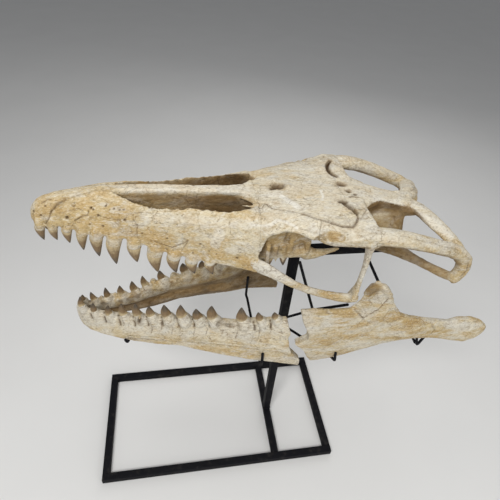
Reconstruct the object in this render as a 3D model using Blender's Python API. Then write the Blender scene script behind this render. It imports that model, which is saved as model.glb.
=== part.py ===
"""Mosasaur skull on its museum mount, life size, in metres, +Z up.

The skull lies level with its snout towards -X. Its left side faces -Y. Stations along the
skull are given in centimetres as d, the distance behind the tip of the snout, with z the
height over the floor and w the distance out from the skull's own midplane (Y = 0).
"""
import math

import bmesh
import bpy
from mathutils import Matrix, Vector

# ------------------------------------------------------------------ driving dimensions
CM = 0.01
GAP = 0.0003                # clear space between solids that touch
SNOUT_X = -0.5025           # the tip of the snout in the part's frame

TUBE = 0.020                # square steel tube of the stand
BASE_LENGTH = 0.6734        # outer length of the base frame
BASE_WIDTH = 0.3408         # outer width of the base frame
BASE_LEFT = -0.4819         # X of the base's snout end
CROSS_X = 0.0188            # X of the off-centre cross tube and of the post
BEAM_UNDER = 0.687          # underside of the beam that carries the braincase
BEAM_END = 0.2505           # X of the beam's far end
ROD = 0.0058                # diameter of the thin rods

BONE = (0.72, 0.62, 0.45)
TOOTH_SIDES = 6
FLAT = math.radians(1.5)    # facets closer to one plane than this are merged

# ------------------------------------------------------------------ the skull's own curves
RIDGE = [(0, 83.2), (0.6, 84.4), (1.6, 85.4), (3.2, 86.0), (5.6, 86.6), (12.8, 87.6), (21.7, 87.4),
         (37.6, 86.6), (45.3, 86.5), (60.2, 86.0), (66, 85.3), (72.7, 83.6), (75.8, 82.5)]
MARGIN_W = [(0, 1.0), (1.0, 1.9), (2.4, 2.5), (4.8, 3.1), (7.3, 3.6), (9.7, 4.1), (12.9, 4.8),
            (16.5, 5.3), (23.6, 6.2), (30.3, 7.5), (33, 8.2), (38.9, 9.8), (43.6, 11.4)]
MARGIN_Z = [(0, 81.6), (1.0, 80.9), (2.4, 80.7), (4.8, 81.2), (7.3, 80.9), (9.7, 80.1),
            (12.9, 80.0), (16.5, 79.4), (19.6, 78.0), (23.6, 76.5), (26.9, 75.3),
            (30.3, 74.9), (36.1, 74.5), (41, 73.7), (43.6, 74.2)]
ARCH_POWER = [(0, 2.0), (6, 2.1), (12, 2.3), (18.7, 2.8), (30, 3.8), (38, 3.8), (43.6, 4.8)]
NARIS_OUTER = [(15.2, 1.3), (17.8, 2.9), (20, 3.9), (25, 4.5), (30.7, 5.2), (35.4, 6.1),
               (38, 6.1), (40.5, 5.8), (42.6, 4.9)]
NARIS_INNER = [(15.2, 1.1), (38, 1.1), (40.5, 2.2), (42.6, 4.5)]
NARIS_FLOOR = [(15.2, 84.5), (18, 83.0), (22, 81.6), (28, 80.3), (36, 79.8), (42.6, 80.5)]


def interpolate(table, d):
    """The value at d on straight lines between (d, value) rows."""
    if d <= table[0][0]:
        return table[0][1]
    for (d0, v0), (d1, v1) in zip(table, table[1:]):
        if d <= d1:
            t = (d - d0) / (d1 - d0)
            return v0 + (v1 - v0) * t
    return table[-1][1]


def at(d, w, z, side=-1):
    """World point of a skull station: d behind the snout, w out to the side, z up."""
    return Vector((SNOUT_X + d * CM, side * w * CM, z * CM))


def path(rows, side=-1):
    return [at(d, w, z, side) for d, w, z in rows]


def cm(values):
    return [v * CM for v in values]


def spline(points, count):
    """Evenly spaced parameters along a Catmull-Rom curve through the points."""
    points = [Vector(p) for p in points]
    ends = [2 * points[0] - points[1]] + points + [2 * points[-1] - points[-2]]
    curve = []
    for i in range(count):
        t = i * (len(points) - 1) / (count - 1)
        k = min(int(t), len(points) - 2)
        t -= k
        a, b, c, e = ends[k:k + 4]
        curve.append(0.5 * (2 * b + (c - a) * t + (2 * a - 5 * b + 4 * c - e) * t * t
                            + (3 * b - a - 3 * c + e) * t ** 3))
    return curve


# ------------------------------------------------------------------ solids
def mesh_of(rings, tip=None):
    """A closed mesh lofted through rings of equal count, with flat or pointed ends."""
    bm = bmesh.new()
    rows = [[bm.verts.new(p) for p in ring] for ring in rings]
    count = len(rows[0])
    for low, high in zip(rows, rows[1:]):
        for i in range(count):
            j = (i + 1) % count
            bm.faces.new((low[i], low[j], high[j], high[i]))
    bm.faces.new(rows[0][::-1])
    if tip is None:
        bm.faces.new(rows[-1])
    else:
        point = bm.verts.new(tip)
        for i in range(count):
            bm.faces.new((rows[-1][i], rows[-1][(i + 1) % count], point))
    bmesh.ops.recalc_face_normals(bm, faces=bm.faces[:])
    bmesh.ops.triangulate(bm, faces=[f for f in bm.faces if len(f.verts) > 3])
    mesh = bpy.data.meshes.new("solid")
    bm.to_mesh(mesh)
    bm.free()
    return mesh


def bar(path, widths, heights, sides=10):
    """A bone bar: elliptical sections (width across, height up) swept along a path."""
    count = len(path) + 2
    rows = spline([(p[0], p[1], p[2]) for p in path], count)
    wide = spline([(w, h, 0) for w, h in zip(widths, heights)], count)
    rings = []
    before = None
    for i, centre in enumerate(rows):
        along = (rows[min(i + 1, count - 1)] - rows[max(i - 1, 0)]).normalized()
        across = along.cross(Vector((0, 0, 1)))
        if across.length < 0.35:
            across = Vector((0, 1, 0)) - along * along.y
        if before and across.dot(before) < 0:
            across.negate()     # the ring keeps its sense where the bar turns back under itself
        across.normalize()
        before = across.copy()
        up = across.cross(along)
        ring = []
        for k in range(sides):
            a = 2 * math.pi * (k + 0.5) / sides
            ring.append(centre + across * (math.cos(a) * wide[i].x)
                        + up * (math.sin(a) * wide[i].y))
        rings.append(ring)
    return mesh_of(rings)


def box(x0, x1, y0, y1, z0, z1):
    low = [(x0, y0, z0), (x1, y0, z0), (x1, y1, z0), (x0, y1, z0)]
    high = [(x, y, z1) for x, y, _ in low]
    return mesh_of([low, high])


def prism(outline, low, high, axis="Y"):
    """An outline of two coordinates, extruded along Y or Z."""
    if axis == "Y":
        return mesh_of([[(x, low, z) for x, z in outline], [(x, high, z) for x, z in outline]])
    return mesh_of([[(x, y, low) for x, y in outline], [(x, y, high) for x, y in outline]])


def joined(meshes):
    bm = bmesh.new()
    for mesh in meshes:
        bm.from_mesh(mesh)
    result = bpy.data.meshes.new("joined")
    bm.to_mesh(result)
    bm.free()
    return result


def boolean(mesh, operation, tool):
    """The exact Boolean of two meshes, as a new mesh."""
    body = bpy.data.objects.new("body", mesh)
    cutter = bpy.data.objects.new("cutter", tool)
    for item in (body, cutter):
        bpy.context.scene.collection.objects.link(item)
    step = body.modifiers.new("Boolean", "BOOLEAN")
    step.operation = operation
    step.solver = "EXACT"
    step.object = cutter
    graph = bpy.context.evaluated_depsgraph_get()
    result = bpy.data.meshes.new_from_object(body.evaluated_get(graph))
    bpy.data.objects.remove(body)
    bpy.data.objects.remove(cutter)
    return result


def union(first, *others):
    for other in others:
        first = boolean(first, "UNION", other)
    return first


def cut(first, *others):
    for other in others:
        first = boolean(first, "DIFFERENCE", other)
    return first


def common(first, other):
    return boolean(first, "INTERSECT", other)


def mirrored(mesh):
    """The same solid on the skull's other side."""
    bm = bmesh.new()
    bm.from_mesh(mesh)
    bmesh.ops.transform(bm, matrix=Matrix.Scale(-1, 4, (0, 1, 0)), verts=bm.verts[:])
    bmesh.ops.reverse_faces(bm, faces=bm.faces[:])
    result = bpy.data.meshes.new("mirrored")
    bm.to_mesh(result)
    bm.free()
    return result


def grown(mesh, by=GAP):
    """The same solid, larger by the gap, to cut its neighbours with."""
    bm = bmesh.new()
    bm.from_mesh(mesh)
    bm.normal_update()
    moves = [(v, v.normal * by * min(v.calc_shell_factor(), 2.0)) for v in bm.verts]
    for v, move in moves:
        v.co += move
    result = bpy.data.meshes.new("grown")
    bm.to_mesh(result)
    bm.free()
    return result


def pieces(mesh):
    """The separate bodies of a mesh, each as its own mesh."""
    bm = bmesh.new()
    bm.from_mesh(mesh)
    bm.verts.ensure_lookup_table()
    seen = set()
    result = []
    for start in bm.verts:
        if start.index in seen:
            continue
        seen.add(start.index)
        stack, island = [start], []
        while stack:
            v = stack.pop()
            island.append(v)
            for edge in v.link_edges:
                other = edge.other_vert(v)
                if other.index not in seen:
                    seen.add(other.index)
                    stack.append(other)
        part = bmesh.new()
        copies = {v.index: part.verts.new(v.co) for v in island}
        for face in {f for v in island for f in v.link_faces}:
            part.faces.new([copies[v.index] for v in face.verts])
        body = bpy.data.meshes.new("piece")
        part.to_mesh(body)
        result.append((part.calc_volume(), body))
        part.free()
    bm.free()
    result.sort(key=lambda item: -abs(item[0]))
    return [body for volume, body in result]


def fitted(mesh, *neighbours):
    """The solid, clear of its neighbours by the gap, in one piece."""
    for neighbour in neighbours:
        mesh = cut(mesh, grown(neighbour))
    return pieces(mesh)[0]


def centre(mesh):
    count = len(mesh.vertices)
    return sum((v.co for v in mesh.vertices), Vector()) / count


def wall(points, side=-1, thick=GAP):
    """A thin upright sheet along a plan-view path of (d, w), to part bones with."""
    path = [Vector((SNOUT_X + d * CM, side * w * CM)) for d, w in points]
    lines = []
    for i, p in enumerate(path):
        along = (path[min(i + 1, len(path) - 1)] - path[max(i - 1, 0)]).normalized()
        lines.append(Vector((-along.y, along.x)) * thick / 2)
    outline = [p + n for p, n in zip(path, lines)] + [p - n for p, n in zip(path, lines)][::-1]
    return prism([(p.x, p.y) for p in outline], 0.60, 0.95, axis="Z")


def material(name, colour, roughness, metallic=0.0):
    item = bpy.data.materials.new(name)
    item.use_nodes = True
    shader = item.node_tree.nodes["Principled BSDF"]
    shader.inputs["Base Color"].default_value = (*colour, 1)
    shader.inputs["Roughness"].default_value = roughness
    shader.inputs["Metallic"].default_value = metallic
    return item


def place(name, mesh, finish, smooth=True):
    """The finished sub-part as a named object, cleaned of slivers."""
    bm = bmesh.new()
    bm.from_mesh(mesh)
    bmesh.ops.remove_doubles(bm, verts=bm.verts[:], dist=0.00002)
    bmesh.ops.dissolve_degenerate(bm, edges=bm.edges[:], dist=0.00001)
    bmesh.ops.dissolve_limit(bm, angle_limit=FLAT, verts=bm.verts[:], edges=bm.edges[:])
    bmesh.ops.triangulate(bm, faces=bm.faces[:])
    bm.to_mesh(mesh)
    bm.free()
    mesh.name = name
    mesh.materials.clear()
    mesh.materials.append(finish)
    if smooth:
        mesh.shade_smooth()
        mesh.set_sharp_from_angle(angle=math.radians(50))
    item = bpy.data.objects.new(name, mesh)
    bpy.context.scene.collection.objects.link(item)
    return item


# ------------------------------------------------------------------ teeth
def tooth(base, tip, length_radius, side_radius, root=1.2, bend=0.4, sides=TOOTH_SIDES):
    """A recurved cone from a root sunk in the jaw to a point. All in centimetres."""
    base, tip = Vector(base), Vector(tip)
    axis = tip - base
    height = axis.length
    axis.normalize()
    back = Vector((1, 0, 0)) - axis * axis.x
    back.normalize()
    across = axis.cross(back)
    profile = [(-root / height, 0.95), (0.08, 1.08), (0.62, 0.68)]
    rings = []
    for t, scale in profile:
        lean = -bend * math.sin(math.pi * max(t, 0)) * 0.5
        centre = base + axis * (t * height) + back * lean
        ring = []
        for k in range(sides):
            a = 2 * math.pi * k / sides
            ring.append(centre + back * (math.cos(a) * length_radius * scale)
                        + across * (math.sin(a) * side_radius * scale))
        rings.append([p * CM for p in ring])
    return mesh_of(rings, tip=tip * CM)


def tooth_row(rows, side):
    """Teeth from rows of (d, w, z, tip d, tip w, tip z, length radius)."""
    meshes = []
    for d, w, z, td, tw, tz, radius in rows:
        base = at(d, w, z, side) / CM
        tip = at(td, tw, tz, side) / CM
        meshes.append(tooth(base, tip, radius, radius * 0.82))
    return joined(meshes)


# upper teeth of the left side: the two of the premaxilla, then those of the maxilla
UPPER = [(1.5, 1.6, 80.9, 1.3, 1.6, 77.0, 0.95), (3.9, 2.3, 81.3, 3.9, 2.4, 77.5, 0.95),
         (6.5, 2.8, 81.2, 6.2, 3.1, 77.2, 1.0), (9.1, 3.3, 80.5, 8.5, 3.6, 75.7, 1.1),
         (11.7, 3.9, 80.2, 11.3, 4.4, 74.6, 1.25), (14.9, 4.3, 79.7, 14.3, 4.9, 72.9, 1.45),
         (18.4, 4.7, 78.6, 18.3, 5.5, 73.6, 1.45), (22.2, 5.1, 77.1, 22.1, 6.0, 71.1, 1.6),
         (25.7, 5.7, 76.0, 25.7, 6.5, 71.1, 1.4), (29.1, 6.4, 75.2, 29.3, 7.1, 71.2, 1.35),
         (32.4, 7.1, 74.8, 32.9, 7.9, 71.5, 1.1)]
PALATE_TEETH = [(44.8, 6.2, 75.4, 44.6, 6.1, 70.8, 1.0), (48.0, 5.9, 75.2, 47.8, 5.8, 70.9, 1.0),
                (52.0, 5.4, 75.2, 52.2, 5.3, 72.4, 0.95)]
LOWER_LEFT = [(4.7, 1.0, 56.4, 4.6, 1.0, 60.1, 0.8), (7.3, 1.8, 55.6, 7.2, 2.0, 58.9, 0.8),
              (10.6, 2.7, 55.2, 10.4, 2.8, 58.7, 0.9), (13.8, 3.4, 55.2, 13.4, 3.5, 59.8, 1.0),
              (17.1, 4.3, 55.8, 16.6, 4.5, 60.6, 1.1), (20.0, 5.2, 56.6, 19.4, 5.3, 60.4, 1.1),
              (23.5, 6.2, 57.2, 22.7, 6.4, 61.7, 1.2), (26.9, 7.2, 57.7, 26.2, 7.5, 62.6, 1.3),
              (30.2, 7.7, 57.8, 29.4, 8.0, 61.4, 1.2), (33.4, 8.3, 57.9, 32.7, 8.6, 62.8, 1.35),
              (39.7, 9.8, 58.4, 38.9, 10.1, 63.3, 1.35), (43.4, 10.7, 59.4, 42.4, 10.9, 62.3, 1.2),
              (46.6, 11.4, 60.4, 45.8, 11.5, 62.6, 1.1)]
LOWER_RIGHT = [(4.7, 1.0, 56.4, 4.6, 1.0, 58.6, 0.8), (6.9, 1.8, 55.6, 6.2, 1.8, 58.4, 0.8),
               (10.0, 2.6, 55.2, 9.3, 2.8, 58.6, 0.9), (13.0, 3.3, 55.2, 12.4, 3.5, 58.2, 1.0),
               (15.8, 4.0, 55.4, 15.2, 4.1, 58.9, 1.0), (18.4, 4.8, 56.2, 17.6, 4.9, 59.6, 1.0),
               (22.4, 5.9, 57.0, 21.6, 6.1, 59.9, 1.1), (27.9, 7.5, 57.7, 27.1, 7.7, 60.5, 1.2),
               (32.4, 8.2, 57.9, 31.8, 8.4, 60.2, 1.1), (35.6, 8.9, 57.9, 34.9, 9.0, 60.0, 1.1)]


# ------------------------------------------------------------------ muzzle
ARCH_POINTS = 7
PALATE_RIDGE = 2.2          # how wide the tooth-bearing rim is
VAULT = 1.6                 # how far the palate rises inside it
MUZZLE_END = 41.3           # d of the muzzle's rear, at the front of the orbit


def muzzle_ring(d):
    """One closed section of the muzzle: an arch over the margins, and the vaulted palate."""
    top = interpolate(RIDGE, d)
    wide = interpolate(MARGIN_W, d)
    low = interpolate(MARGIN_Z, d)
    power = interpolate(ARCH_POWER, d)
    arch = []
    for i in range(ARCH_POINTS):
        a = math.pi / 2 * i / (ARCH_POINTS - 1)
        arch.append((wide * math.sin(a) ** (2 / power), low + (top - low) * math.cos(a) ** (2 / power)))
    rim = min(PALATE_RIDGE, wide * 0.4)
    vault = min(VAULT, (top - low) * 0.2)
    under = [(wide - rim * 0.5, low - 0.15), (wide - rim, low + 0.1), ((wide - rim) * 0.5, low + vault),
             (0.0, low + vault * 1.1)]
    half = arch + under
    left = [at(d, w, z, -1) for w, z in half]
    right = [at(d, w, z, 1) for w, z in half[-2:0:-1]]
    return left + right


def muzzle():
    stations = [0, 0.5, 1.4, 2.8, 4.8, 9.7, 12.9, 16.5, 23.6, 30.3, 36.1, MUZZLE_END]
    return mesh_of([muzzle_ring(d) for d in stations])


def naris(side):
    """The long trough of one nostril opening, open upwards."""
    rings = []
    for i in range(9):
        d = 15.2 + (42.6 - 15.2) * i / 8
        inner = interpolate(NARIS_INNER, d)
        outer = interpolate(NARIS_OUTER, d)
        floor = interpolate(NARIS_FLOOR, d)
        belly = 0.25 * (outer - inner)
        rings.append([at(d, inner, 92, side), at(d, inner, floor + 1.0, side),
                      at(d, inner + belly, floor, side), at(d, outer - belly, floor, side),
                      at(d, outer + 0.3, floor + 1.6, side), at(d, outer, 92, side)])
    return mesh_of(rings)


# the suture of the premaxilla in side view, from the margin up to the ridge
PREMAXILLA_SUTURE = [(5.2, 76), (5.2, 80.6), (4.2, 82.2), (4.2, 83.4), (5.2, 85.0), (6.6, 86.0),
                     (8.0, 90)]
BAR_HALF = 1.2              # half width of the bar between the nares
BAR_START = 5.0
BAR_END = 43.2


def premaxilla_region(grow=0.0):
    outline = [(SNOUT_X - 0.05, 0.76), (SNOUT_X - 0.05, 0.90)]
    outline += [(SNOUT_X + d * CM + grow, z * CM) for d, z in reversed(PREMAXILLA_SUTURE)]
    front = prism(outline, -0.2, 0.2)
    half = BAR_HALF * CM + grow
    middle = box(SNOUT_X + BAR_START * CM, SNOUT_X + BAR_END * CM + grow, -half, half, 0.70, 0.95)
    return union(front, middle)


# ------------------------------------------------------------------ roof
ROOF = [  # d, z on the midline, shoulder w, shoulder z, edge w, edge z top, edge z under
    (41.34, 86.5, 7.8, 85.3, 10.6, 83.4, 78.4),
    (42.6, 86.5, 8.0, 85.5, 10.7, 83.9, 82.6),
    (45.5, 86.5, 8.4, 85.8, 10.9, 84.8, 83.9),
    (48.0, 86.4, 9.2, 85.8, 11.7, 84.8, 83.9),
    (50.5, 86.4, 10.2, 85.8, 13.1, 84.7, 83.3),
    (54.0, 86.3, 10.8, 85.8, 14.4, 84.6, 82.8),
    (57.5, 86.1, 11.2, 85.9, 15.0, 85.0, 82.9),
    (59.6, 86.0, 11.4, 86.2, 15.3, 85.6, 83.0),
    (62.3, 85.8, 11.6, 86.0, 15.3, 85.4, 82.6)]


def roof():
    """The broad shield over the orbits, from the nares to the temporal openings."""
    rings = []
    for d, mid, ws, zs, we, zt, zu in ROOF:
        half = [(0, mid), (ws * 0.5, mid * 0.5 + zs * 0.5 + 0.1), (ws, zs), (we - 0.7, zt + 0.1),
                (we, zt - 0.4), (we - 0.2, zu), (we - 1.6, zu - 0.1), (ws * 0.75, zu - 0.6),
                (ws * 0.35, zu - 1.4), (0, zu - 1.8)]
        rings.append([at(d, w, z, -1) for w, z in half] + [at(d, w, z, 1) for w, z in half[-2:0:-1]])
    return mesh_of(rings)


def shield():
    """Roof, parietal waist and rami, and the outer temporal bars, as one shape."""
    whole = union(roof(), parietal())
    for side in (-1, 1):
        for bone in (arcade(), ramus()):
            whole = union(whole, bone if side < 0 else mirrored(bone))
    return cut(whole, naris(-1), naris(1))


# sutures of the shield in plan, d and w
FRONTAL_SUTURE = [(40.6, 4.5), (43.0, 5.2), (44.6, 6.4), (48, 8.2), (52, 9.8), (56, 10.9), (59.2, 11.0),
                  (60.2, 9.8), (59.2, 7.2), (57.6, 4.8), (58.4, 2.4), (58.4, 0)]
SIDE_SUTURES = {"prefrontal": [(52.2, 9.8), (51.4, 12.0), (51.0, 17.0)],
                "parietal": [(59.8, 9.6), (61.5, 7.8), (63.5, 6.4), (67.0, 5.4)],
                "squamosal": [(71.0, 9.8), (72.6, 12.0), (72.0, 13.4), (74.2, 17.0)],
                "ramus": [(78.6, 10.9), (80.6, 11.3), (83.0, 11.0), (86.0, 11.0)]}


def shield_bones(whole):
    """The shield parted along its sutures, as a dictionary of meshes by bone name."""
    whole = cut(whole, wall(FRONTAL_SUTURE + [(d, -w) for d, w in FRONTAL_SUTURE[-2::-1]]))
    for side in (-1, 1):
        for line in SIDE_SUTURES.values():
            whole = cut(whole, wall(line, side))
    bones = {}
    for body in pieces(whole):
        middle = centre(body)
        d = (middle.x - SNOUT_X) / CM
        half = "left" if middle.y < 0 else "right"
        if abs(middle.y) < 0.01:
            name = "frontal" if d < 58 else "parietal"
        elif d < 52:
            name = "prefrontal_" + half
        elif d < 72:
            name = "postorbitofrontal_" + half
        else:
            name = "squamosal_" + half
        if name not in bones:
            bones[name] = body
    return bones


def main():
    for item in list(bpy.data.objects):
        bpy.data.objects.remove(item)
    bone = material("fossil_bone", BONE, 0.75)
    steel = material("painted_steel", (0.045, 0.045, 0.05), 0.45)

    skull = muzzle()
    premaxilla = cut(common(skull, premaxilla_region()), naris(-1), naris(1))
    premaxilla = union(premaxilla, joined([tooth_row(UPPER[:2], -1), tooth_row(UPPER[:2], 1)]))
    maxilla = cut(skull, premaxilla_region(GAP), naris(-1))
    maxilla = common(maxilla, box(-1, 1, -1, 0, 0, 2))
    maxilla = fitted(union(maxilla, tooth_row(UPPER[2:], -1)), premaxilla)

    whole = shield()
    bones = shield_bones(whole.copy())
    bones = {name: body for name, body in bones.items() if "right" not in name}
    jaw = postdentary()
    lift = braincase()
    bones["premaxilla"] = premaxilla
    bones["maxilla_left"] = maxilla
    bones["jugal_left"] = fitted(jugal(), maxilla, whole)
    bones["braincase"] = fitted(lift, whole, beam())
    bones["paroccipital_left"] = fitted(paroccipital(), whole, lift)
    bones["palatine_left"] = fitted(palatine(), maxilla, whole, lift, grown(naris(-1), 0.003))
    bones["pterygoid_left"] = fitted(pterygoid(), maxilla, lift, palatine())
    bones["dentary_left"] = union(dentary(), tooth_row(LOWER_LEFT, -1))
    bones["dentary_right"] = mirrored(union(dentary(), tooth_row(LOWER_RIGHT, -1)))
    bones["postdentary_left"] = jaw
    bones["coronoid_left"] = fitted(coronoid(), jaw)
    single = ("dentary_left", "postdentary_left", "coronoid_left")
    for name, mesh in bones.items():
        place(name, mesh, bone)
        if name.endswith("_left") and name not in single:
            place(name.replace("left", "right"), mirrored(mesh), bone)
    stand(steel, bones)


def jugal():
    """The L-shaped cheek bone: a slender bar under the orbit and an upright behind it."""
    under = bar(path([(39.4, 9.5, 76.6), (41.4, 10.4, 75.6), (43.9, 11.0, 74.3), (48, 11.9, 71.8),
                      (52.3, 12.2, 69.5), (57, 12.4, 67.8), (60.5, 12.6, 67.0), (63.0, 12.7, 66.6)]),
                cm([0.5, 0.7, 0.75, 0.6, 0.55, 0.6, 0.7, 0.5]),
                cm([0.9, 1.7, 1.4, 1.0, 0.95, 1.1, 1.4, 0.9]), sides=8)
    upright = bar(path([(61.2, 12.6, 66.9), (61.8, 12.8, 68.9), (61.9, 13.0, 71.5), (61.8, 13.3, 75),
                        (61.5, 13.7, 79), (61.0, 14.1, 82.2), (60.8, 14.2, 84.2)]),
                  cm([1.5, 1.3, 0.8, 0.65, 0.7, 1.1, 1.8]), cm([0.6, 0.6, 0.5, 0.5, 0.6, 0.8, 1.0]),
                  sides=8)
    return union(under, upright)


def arcade():
    """The outer bar of the temporal opening, ending in the suspensorium."""
    return bar(path([(58.5, 13.0, 84.3), (62.5, 13.4, 84.2), (66, 13.7, 83.8), (69.2, 13.7, 83.0),
                     (72.5, 13.5, 81.9), (76, 13.2, 80.6), (79.5, 12.8, 79.2), (82.5, 12.5, 77.4),
                     (84.3, 12.5, 75.0), (84.3, 12.4, 72.6), (83.7, 12.4, 70.9), (83.0, 12.3, 70.2)]),
               cm([2.1, 2.2, 2.1, 1.95, 1.85, 1.7, 1.5, 1.3, 1.2, 1.2, 1.1, 0.8]),
               cm([1.4, 1.45, 1.5, 1.5, 1.5, 1.5, 1.5, 1.6, 1.7, 1.7, 1.5, 1.0]), sides=10)


def ramus():
    """The parietal's arm, running out and down from the Y to the suspensorium."""
    return bar(path([(72.5, 1.2, 83.0), (75.3, 1.8, 82.4), (76.9, 4.4, 82.0), (78.3, 7.0, 81.3),
                     (79.7, 9.2, 80.5), (81.3, 11.2, 79.2), (82.9, 12.2, 77.4)]),
               cm([1.4, 1.8, 2.0, 1.9, 1.8, 1.6, 1.0]), cm([1.0, 1.1, 1.0, 1.0, 1.0, 1.1, 1.0]),
               sides=8)


def paroccipital():
    """The lower bar from the braincase out to the suspensorium."""
    return bar(path([(68, 3.0, 74.4), (72, 5.2, 73.8), (74.5, 7.0, 73.2), (77, 8.6, 72.5),
                     (79.8, 10.4, 71.8), (82.2, 11.9, 71.2), (83.6, 12.4, 71.2)]),
               cm([1.4, 1.3, 1.0, 0.9, 0.9, 0.9, 0.8]), cm([2.4, 1.9, 1.3, 1.05, 1.0, 1.1, 0.9]),
               sides=8)


def palatine():
    """The inner wall of the orbit, under the shield, sloping in to the palate."""
    rings = []
    for d, w_top, w_mid, w_low, low in [(41.4, 9.6, 8.8, 7.6, 75.2), (45.5, 9.4, 8.0, 7.0, 75.2),
                                        (49, 9.2, 7.6, 6.6, 75.4), (52, 9.0, 7.2, 6.2, 76.2),
                                        (54.5, 8.6, 6.8, 5.6, 78.0), (56.5, 8.0, 6.0, 5.0, 80.4)]:
        rings.append(path([(d, 0.02, 83.9), (d, w_top, 83.9), (d, w_mid, 80.6), (d, w_low, low + 1.2),
                           (d, w_low - 0.8, low), (d, 3.0, low + 0.4), (d, 0.02, low + 1.4)]))
    return mesh_of(rings)


def pterygoid():
    """The palate bar with its own teeth, and the blade behind it that tapers to the rear."""
    body = bar(path([(40, 6.4, 76.0), (44, 6.2, 75.6), (48, 5.9, 75.2), (51.5, 5.5, 74.6),
                     (53.5, 5.2, 73.2), (56, 5.0, 73.3), (59.8, 5.0, 74.2)]),
               cm([1.8, 1.6, 1.5, 1.3, 0.9, 0.6, 0.25]), cm([1.6, 1.6, 1.5, 1.7, 1.6, 0.9, 0.3]),
               sides=10)
    return union(body, tooth_row(PALATE_TEETH, -1))


def parietal():
    """The parietal's waist between the temporal openings."""
    rings = []
    for d, mid, wide, edge, low in [(58.6, 86.0, 7.0, 85.6, 83.6), (62.0, 85.9, 6.4, 85.4, 82.5),
                                    (65.0, 85.5, 3.9, 85.0, 81), (67, 85.2, 2.8, 84.6, 80),
                                    (69, 84.7, 2.7, 83.9, 79.5), (72, 83.9, 2.9, 83.1, 79.2),
                                    (74.5, 83.1, 3.4, 82.3, 80), (76.3, 82.4, 3.0, 81.6, 80.6)]:
        half = [(0, mid), (wide * 0.55, mid - 0.1), (wide, edge), (wide, edge - 1.0),
                (wide * 0.7, low), (0, low)]
        rings.append([at(d, w, z, -1) for w, z in half] + [at(d, w, z, 1) for w, z in half[-2:0:-1]])
    return mesh_of(rings)


BRAINCASE = [  # d, top z, w at the top, at the middle and at the floor, floor z
    (58, 83.0, 2.2, 2.8, 1.6, 77.0), (62, 82.8, 2.4, 4.4, 2.2, 73.5), (66, 82.4, 2.4, 6.0, 2.8, 71.6),
    (69.5, 82.2, 2.6, 6.2, 3.0, 70.8), (72, 82.2, 3.0, 5.6, 2.8, 70.8), (73.7, 82.0, 2.8, 4.2, 2.2, 71.8)]


def braincase():
    """The box of bone under the parietal, sloping out to its floor."""
    rings = []
    for d, top, w_top, w_mid, w_low, low in BRAINCASE:
        z = 0.5 * (top + low)
        half = [(0, top), (w_top, top - 0.4), (w_mid * 0.72, z + 2.6), (w_mid, z), (w_mid * 0.9, z - 2.4),
                (w_low, low + 0.4), (w_low * 0.6, low), (0, low)]
        rings.append([at(d, w, z, -1) for w, z in half] + [at(d, w, z, 1) for w, z in half[-2:0:-1]])
    return mesh_of(rings)


# ------------------------------------------------------------------ lower jaws
DENTARY = [  # d, lower z, outer w there, upper z, outer w there, thickness
    (3.2, 53.2, 1.2, 57.0, 0.9, 0.8), (3.9, 51.2, 1.6, 57.2, 1.2, 1.15), (5.4, 50.0, 2.4, 56.2, 1.7, 1.5),
    (8.0, 49.6, 3.6, 55.6, 2.5, 1.9), (11, 49.2, 4.6, 55.3, 3.4, 2.2), (15, 48.6, 5.7, 55.5, 4.4, 2.4),
    (20, 48.4, 6.9, 56.4, 5.9, 2.5), (26, 48.9, 8.5, 57.1, 7.7, 2.6), (32, 47.9, 10.2, 57.2, 8.8, 2.7),
    (38, 47.0, 11.5, 57.4, 10.2, 2.8), (43.5, 46.5, 12.9, 59.0, 11.6, 2.8),
    (48.0, 45.8, 13.4, 60.3, 12.7, 2.6), (54.0, 44.5, 13.9, 61.0, 13.0, 2.2)]
DENTARY_BREAK = [(47.6, 63.0), (48.8, 60.5), (49.6, 57.6), (50.0, 56.2), (49.5, 55.2), (50.3, 51.3),
                 (50.9, 49.7), (53.2, 47.0), (53.3, 42.0), (57.0, 42.0), (57.0, 63.0)]
POSTDENTARY_BREAK = [(50.8, 65.5), (51.4, 63.2), (52.5, 59.4), (54.1, 56.0), (54.2, 54.2), (51.4, 52.7),
                     (53.8, 50.1), (54.9, 47.6), (56.4, 44.7), (56.2, 42.0), (45.0, 42.0), (45.0, 65.5)]


def broken_by(mesh, outline):
    return pieces(cut(mesh, prism([(SNOUT_X + d * CM, z * CM) for d, z in outline], -0.3, 0.3)))[0]


def dentary():
    """The tooth-bearing lower jaw bone, grooved on its inner face, with a broken rear edge."""
    rings = []
    for d, z0, w0, z1, w1, thick in DENTARY:
        high = z1 - z0
        profile = [(0.0, 0.72), (0.05, 0.95), (0.5, 1.02), (0.93, 0.96), (1.0, 0.80), (1.0, 0.2),
                   (0.72, 0.0), (0.42, 0.34), (0.22, 0.06), (0.0, 0.35)]
        ring = []
        for t, across in profile:
            outer = w0 + (w1 - w0) * t
            ring.append(at(d, outer - thick * (1 - across), z0 + high * t))
        rings.append(ring)
    return broken_by(mesh_of(rings), DENTARY_BREAK)


POSTDENTARY = [  # d, lower z, upper z, thickness, w of the middle
    (50.5, 45.0, 64.2, 1.8, 12.3), (54, 44.9, 64.0, 2.2, 12.3), (58, 45.0, 63.4, 2.4, 12.3),
    (62, 45.5, 63.2, 2.6, 12.2), (66, 46.7, 63.0, 2.6, 12.1), (70, 47.9, 62.4, 2.6, 12.0),
    (74, 49.1, 60.6, 2.8, 11.9), (78, 50.0, 58.4, 3.0, 11.9), (82, 50.4, 57.2, 3.0, 11.9),
    (86, 50.0, 56.2, 2.8, 11.9), (89.5, 49.1, 55.4, 2.7, 11.9), (92, 48.3, 56.1, 3.2, 11.9),
    (95.5, 47.2, 55.7, 3.4, 11.9), (98.3, 48.2, 54.5, 3.0, 11.9), (99.9, 49.6, 53.2, 2.0, 11.9),
    (100.5, 50.6, 52.4, 1.0, 11.9)]


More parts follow.
